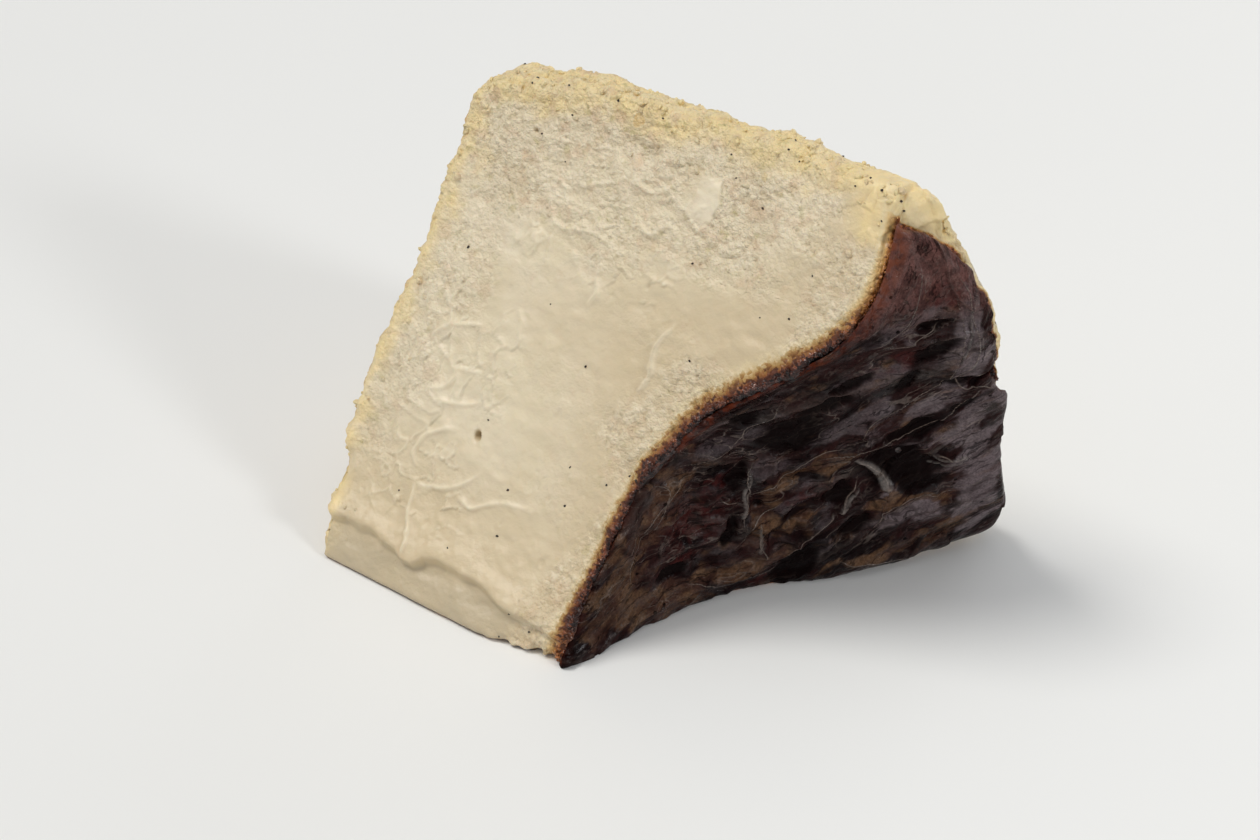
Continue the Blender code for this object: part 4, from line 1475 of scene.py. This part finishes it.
def burnt_top():
    """The dark material: veils, lines and hollows decide its colour, coat and bump."""
    material, tree, shader = new_material("burnt_top")
    place = object_places(tree)
    lanes = add(tree, "ShaderNodeAttribute", attribute_name="lanes").outputs["Vector"]
    lanes = stretch(tree, lanes, (1.0, 0.7, 1.0))
    tall = add(tree, "ShaderNodeSeparateXYZ", place).outputs
    dull, crease = attribute(tree, "dull"), attribute(tree, "crease")
    laid = between(tree, maths(tree, "ABSOLUTE", attribute(tree, "side")), 0.15, 0.03)
    laid = times(tree, laid, attribute(tree, "close"))
    stretched = stretch(tree, lanes, (1.0, 0.6, 1.0))
    large = fine_lines(tree, stretched, 0.3, 0.012, 0.0)
    small = fine_lines(tree, stretched, 0.8, 0.03, 3.7)
    tiny = fine_lines(tree, stretched, 1.1, 0.03, 7.7)
    # Painted sheen: the veils are stronger where the skin faces up.
    facing = between(tree, attribute(tree, "lacquer"), 0.1, 0.9, 0.5, 1.0)
    # The tan veil is painted reflection, the other one painted sheen.
    veils = [times(tree, laid_veil(tree, name, lanes, shift, scale), facing)
             for name, shift, scale in (("mauve", 0.0, 0.4), ("tan", 9.0, 0.45))]
    pool = attribute(tree, "hollow")
    # Painted highlight: the wrinkles, the laid creases and the gleaming crests are paler than the
    # skin.
    lines = larger(tree, times(tree, large, 0.5), times(tree, tiny, 0.25))
    lines = larger(tree, lines, times(tree, crease, 0.3))
    lines = times(tree, lines, maths(tree, "MULTIPLY_ADD", pool, -0.85, 1.0))
    lines = larger(tree, lines, laid)
    lines = larger(tree, lines, times(tree, attribute(tree, "gleam"), 0.6))
    pits = pin_holes(tree, place)
    # Painted black: dark reflection in the hollows, painted shade in the pin holes and the fine
    # cracks.
    dark = larger(tree, pool, pits)
    dark = larger(tree, dark, times(tree, small, 0.7))
    fill(tree, shader.inputs["Base Color"], skin_colour(tree, place, lanes, tall, veils, lines, dark))
    fill(tree, shader.inputs["Roughness"], between(tree, dull, 0.0, 1.0, 0.22, 0.45))
    veil = between(tree, spots(tree, lanes, 0.5, 5.0, 0.6), 0.46, 0.64, 0.03, 0.32)
    veil = maths(tree, "MULTIPLY_ADD", lines, 0.5, veil)
    veil = times(tree, veil, maths(tree, "MULTIPLY_ADD", dark, -0.95, 1.0))
    fill(tree, shader.inputs["Coat Weight"], larger(tree, veil, attribute(tree, "gleam")))
    fine = maths(tree, "ADD", spots(tree, lanes, 0.9, 5.0, 0.6),
                 times(tree, spots(tree, place, 2.6, 4.0, 0.6), 0.5))
    fine = times(tree, fine, maths(tree, "MULTIPLY_ADD", dull, 0.8, 0.3))
    fine = maths(tree, "MULTIPLY_ADD", lines, 0.45, fine)
    fine = maths(tree, "MULTIPLY_ADD", larger(tree, veils[0], veils[1]), 0.4, fine)
    fine = maths(tree, "MULTIPLY_ADD", small, -0.25, fine)
    fine = maths(tree, "SUBTRACT", fine, times(tree, pits, 0.7))
    fine = times(tree, fine, maths(tree, "MULTIPLY_ADD", attribute(tree, "gleam"), -0.9, 1.0))
    bumps = add(tree, "ShaderNodeBump", Strength=0.9, Distance=0.0004, Height=fine)
    fill(tree, shader.inputs["Normal"], bumps)
    fill(tree, shader.inputs["Coat Normal"], bumps)
    shader.inputs["Coat Roughness"].default_value = 0.1
    shader.inputs["Coat IOR"].default_value = 1.6
    shader.inputs["Specular IOR Level"].default_value = 0.02
    return material


skin.data.materials.append(burnt_top())


def vanilla_seed():
    """Dry dark brown, with a little dust."""
    material, tree, shader = new_material("vanilla_seed")
    dust = between(tree, spots(tree, object_places(tree), 6.0), 0.35, 0.65)
    fill(tree, shader.inputs["Base Color"], mix_colour(tree, dust, rgb(26, 18, 12), rgb(54, 40, 28)))
    shader.inputs["Roughness"].default_value = 0.45
    return material


vanilla.data.materials.append(vanilla_seed())
print("materials:", [m.name for m in bpy.data.materials])

# %% [markdown]
# ## Stage, light and camera
#
# The slice stands on a plain pale floor. Two soft suns from above and from the left light
# the front cut, a small lamp at the right draws the sheen of the burnt top, a broad one
# behind lights its far edge, and a pale sky fills the shadows. The camera looks down at
# the slice as a guest at the table would.

# %% The floor
FLOOR_SIDE = 16.0


def build_floor():
    """A flat square grid at the height of the rim, with a faint cloudy grey."""
    side = np.linspace(-FLOOR_SIDE / 2, FLOOR_SIDE / 2, 9)
    x, y = np.meshgrid(side, side, indexing="ij")
    index = np.arange(81).reshape(9, 9)
    floor = new_piece("floor", np.stack([x.ravel(), y.ravel(), 0 * x.ravel()], -1), grid_quads(index))
    material, tree, shader = new_material("pale_floor")
    pale = mix_colour(tree, spots(tree, object_places(tree), 0.004),
                      rgb(235, 235, 232), rgb(239, 239, 236))
    fill(tree, shader.inputs["Base Color"], pale)
    shader.inputs["Roughness"].default_value = 0.7
    floor.data.materials.append(material)
    return floor


floor = build_floor()
print("floor:", FLOOR_SIDE, "m square")

# %% Camera
PHOTO_WIDTH, FOCAL_PIXELS = 1260, 3000
SENSOR = 36
CAMERA_PLACE = np.array([0.1820, -0.2672, 0.2495])
VIEW_TURN = math.radians(35.36)
VIEW_DOWN = math.radians(35.3)
VIEW_ROLL = math.radians(1.97)


def unit_axes():
    """Right, up and forward of the camera, from its turn, its downward tilt and its roll."""
    right = np.array([math.cos(VIEW_TURN), math.sin(VIEW_TURN), 0])
    level = np.array([-math.sin(VIEW_TURN), math.cos(VIEW_TURN), 0])
    forward = level * math.cos(VIEW_DOWN) - np.array([0, 0, math.sin(VIEW_DOWN)])
    up = np.cross(right, forward)
    cosine, sine = math.cos(VIEW_ROLL), math.sin(VIEW_ROLL)
    return cosine * right + sine * up, cosine * up - sine * right, forward


def build_camera():
    """The camera at its place, with the lens that the focal length in pixels gives."""
    right, up, forward = unit_axes()
    data = bpy.data.cameras.new("camera")
    data.sensor_width = SENSOR
    data.lens = SENSOR * FOCAL_PIXELS / PHOTO_WIDTH
    data.clip_start = 0.01
    camera = bpy.data.objects.new("camera", data)
    matrix = np.eye(4)
    matrix[:3, :3] = np.stack([right, up, -forward], -1)
    matrix[:3, 3] = CAMERA_PLACE
    camera.matrix_world = Matrix(matrix.tolist())
    bpy.context.scene.collection.objects.link(camera)
    bpy.context.scene.camera = camera
    return camera


camera = build_camera()
print("lens:", round(camera.data.lens, 1), "mm")


# %% Lights
def soft_light(name, kind, toward, power, tint, softness, distance):
    """A lamp that looks back at the slice. Toward is in camera axes: right, up, back."""
    right, _, forward = unit_axes()
    direction = toward[0] * right + toward[1] * np.array([0, 0, 1]) - toward[2] * forward
    direction = direction / np.linalg.norm(direction)
    data = bpy.data.lights.new(name, kind)
    data.energy = power
    data.color = tint
    setattr(data, "angle" if kind == "SUN" else "size", softness)
    lamp = bpy.data.objects.new(name, data)
    lamp.location = list(direction * distance + np.array([0, 0, 0.03]))
    lamp.rotation_euler = direction_rotation(direction)
    bpy.context.scene.collection.objects.link(lamp)


def direction_rotation(direction):
    """Turns a lamp so that its back points along direction."""
    tilt = math.acos(direction[2])
    turn = math.atan2(direction[1], direction[0]) + math.pi / 2
    return tilt, 0, turn


WARM, COOL = (1.0, 0.985, 0.96), (0.97, 0.98, 1.0)
SKY, SKY_STRENGTH = (0.93, 0.95, 1.0, 1), 0.26
soft_light("key", "SUN", (-0.6, 1.1, 0.0), 1.5, WARM, 0.4, 1.0)
soft_light("above", "SUN", (-0.3, 1.0, 0.3), 0.52, (1.0, 0.99, 0.98), 1.2, 1.0)
soft_light("side", "AREA", (0.8, 0.1, 0.8), 2.6, COOL, 0.2, 1.0)
soft_light("back", "AREA", (0.6, 0.8, -0.9), 2.6, COOL, 0.9, 1.2)
world = bpy.data.worlds.new("soft_sky")
world.use_nodes = True
world.node_tree.nodes["Background"].inputs["Color"].default_value = SKY
world.node_tree.nodes["Background"].inputs["Strength"].default_value = SKY_STRENGTH
bpy.context.scene.world = world
bpy.context.scene.view_settings.view_transform = "Standard"

# %% [markdown]
# ## Last steps
#
# Each piece rides on the slice's one body, and the solid itself is hidden.

# %% Attach the pieces
SLOTS = {"baked_cream_cheese": crumb + [edge_crumbs, dark_grains], "burnt_top": [skin],
         "vanilla_seed": [vanilla]}
for slot, pieces in SLOTS.items():
    for piece in pieces:
        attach(piece, "root")
        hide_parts("cheesecake_slice")
bpy.context.view_layer.update()
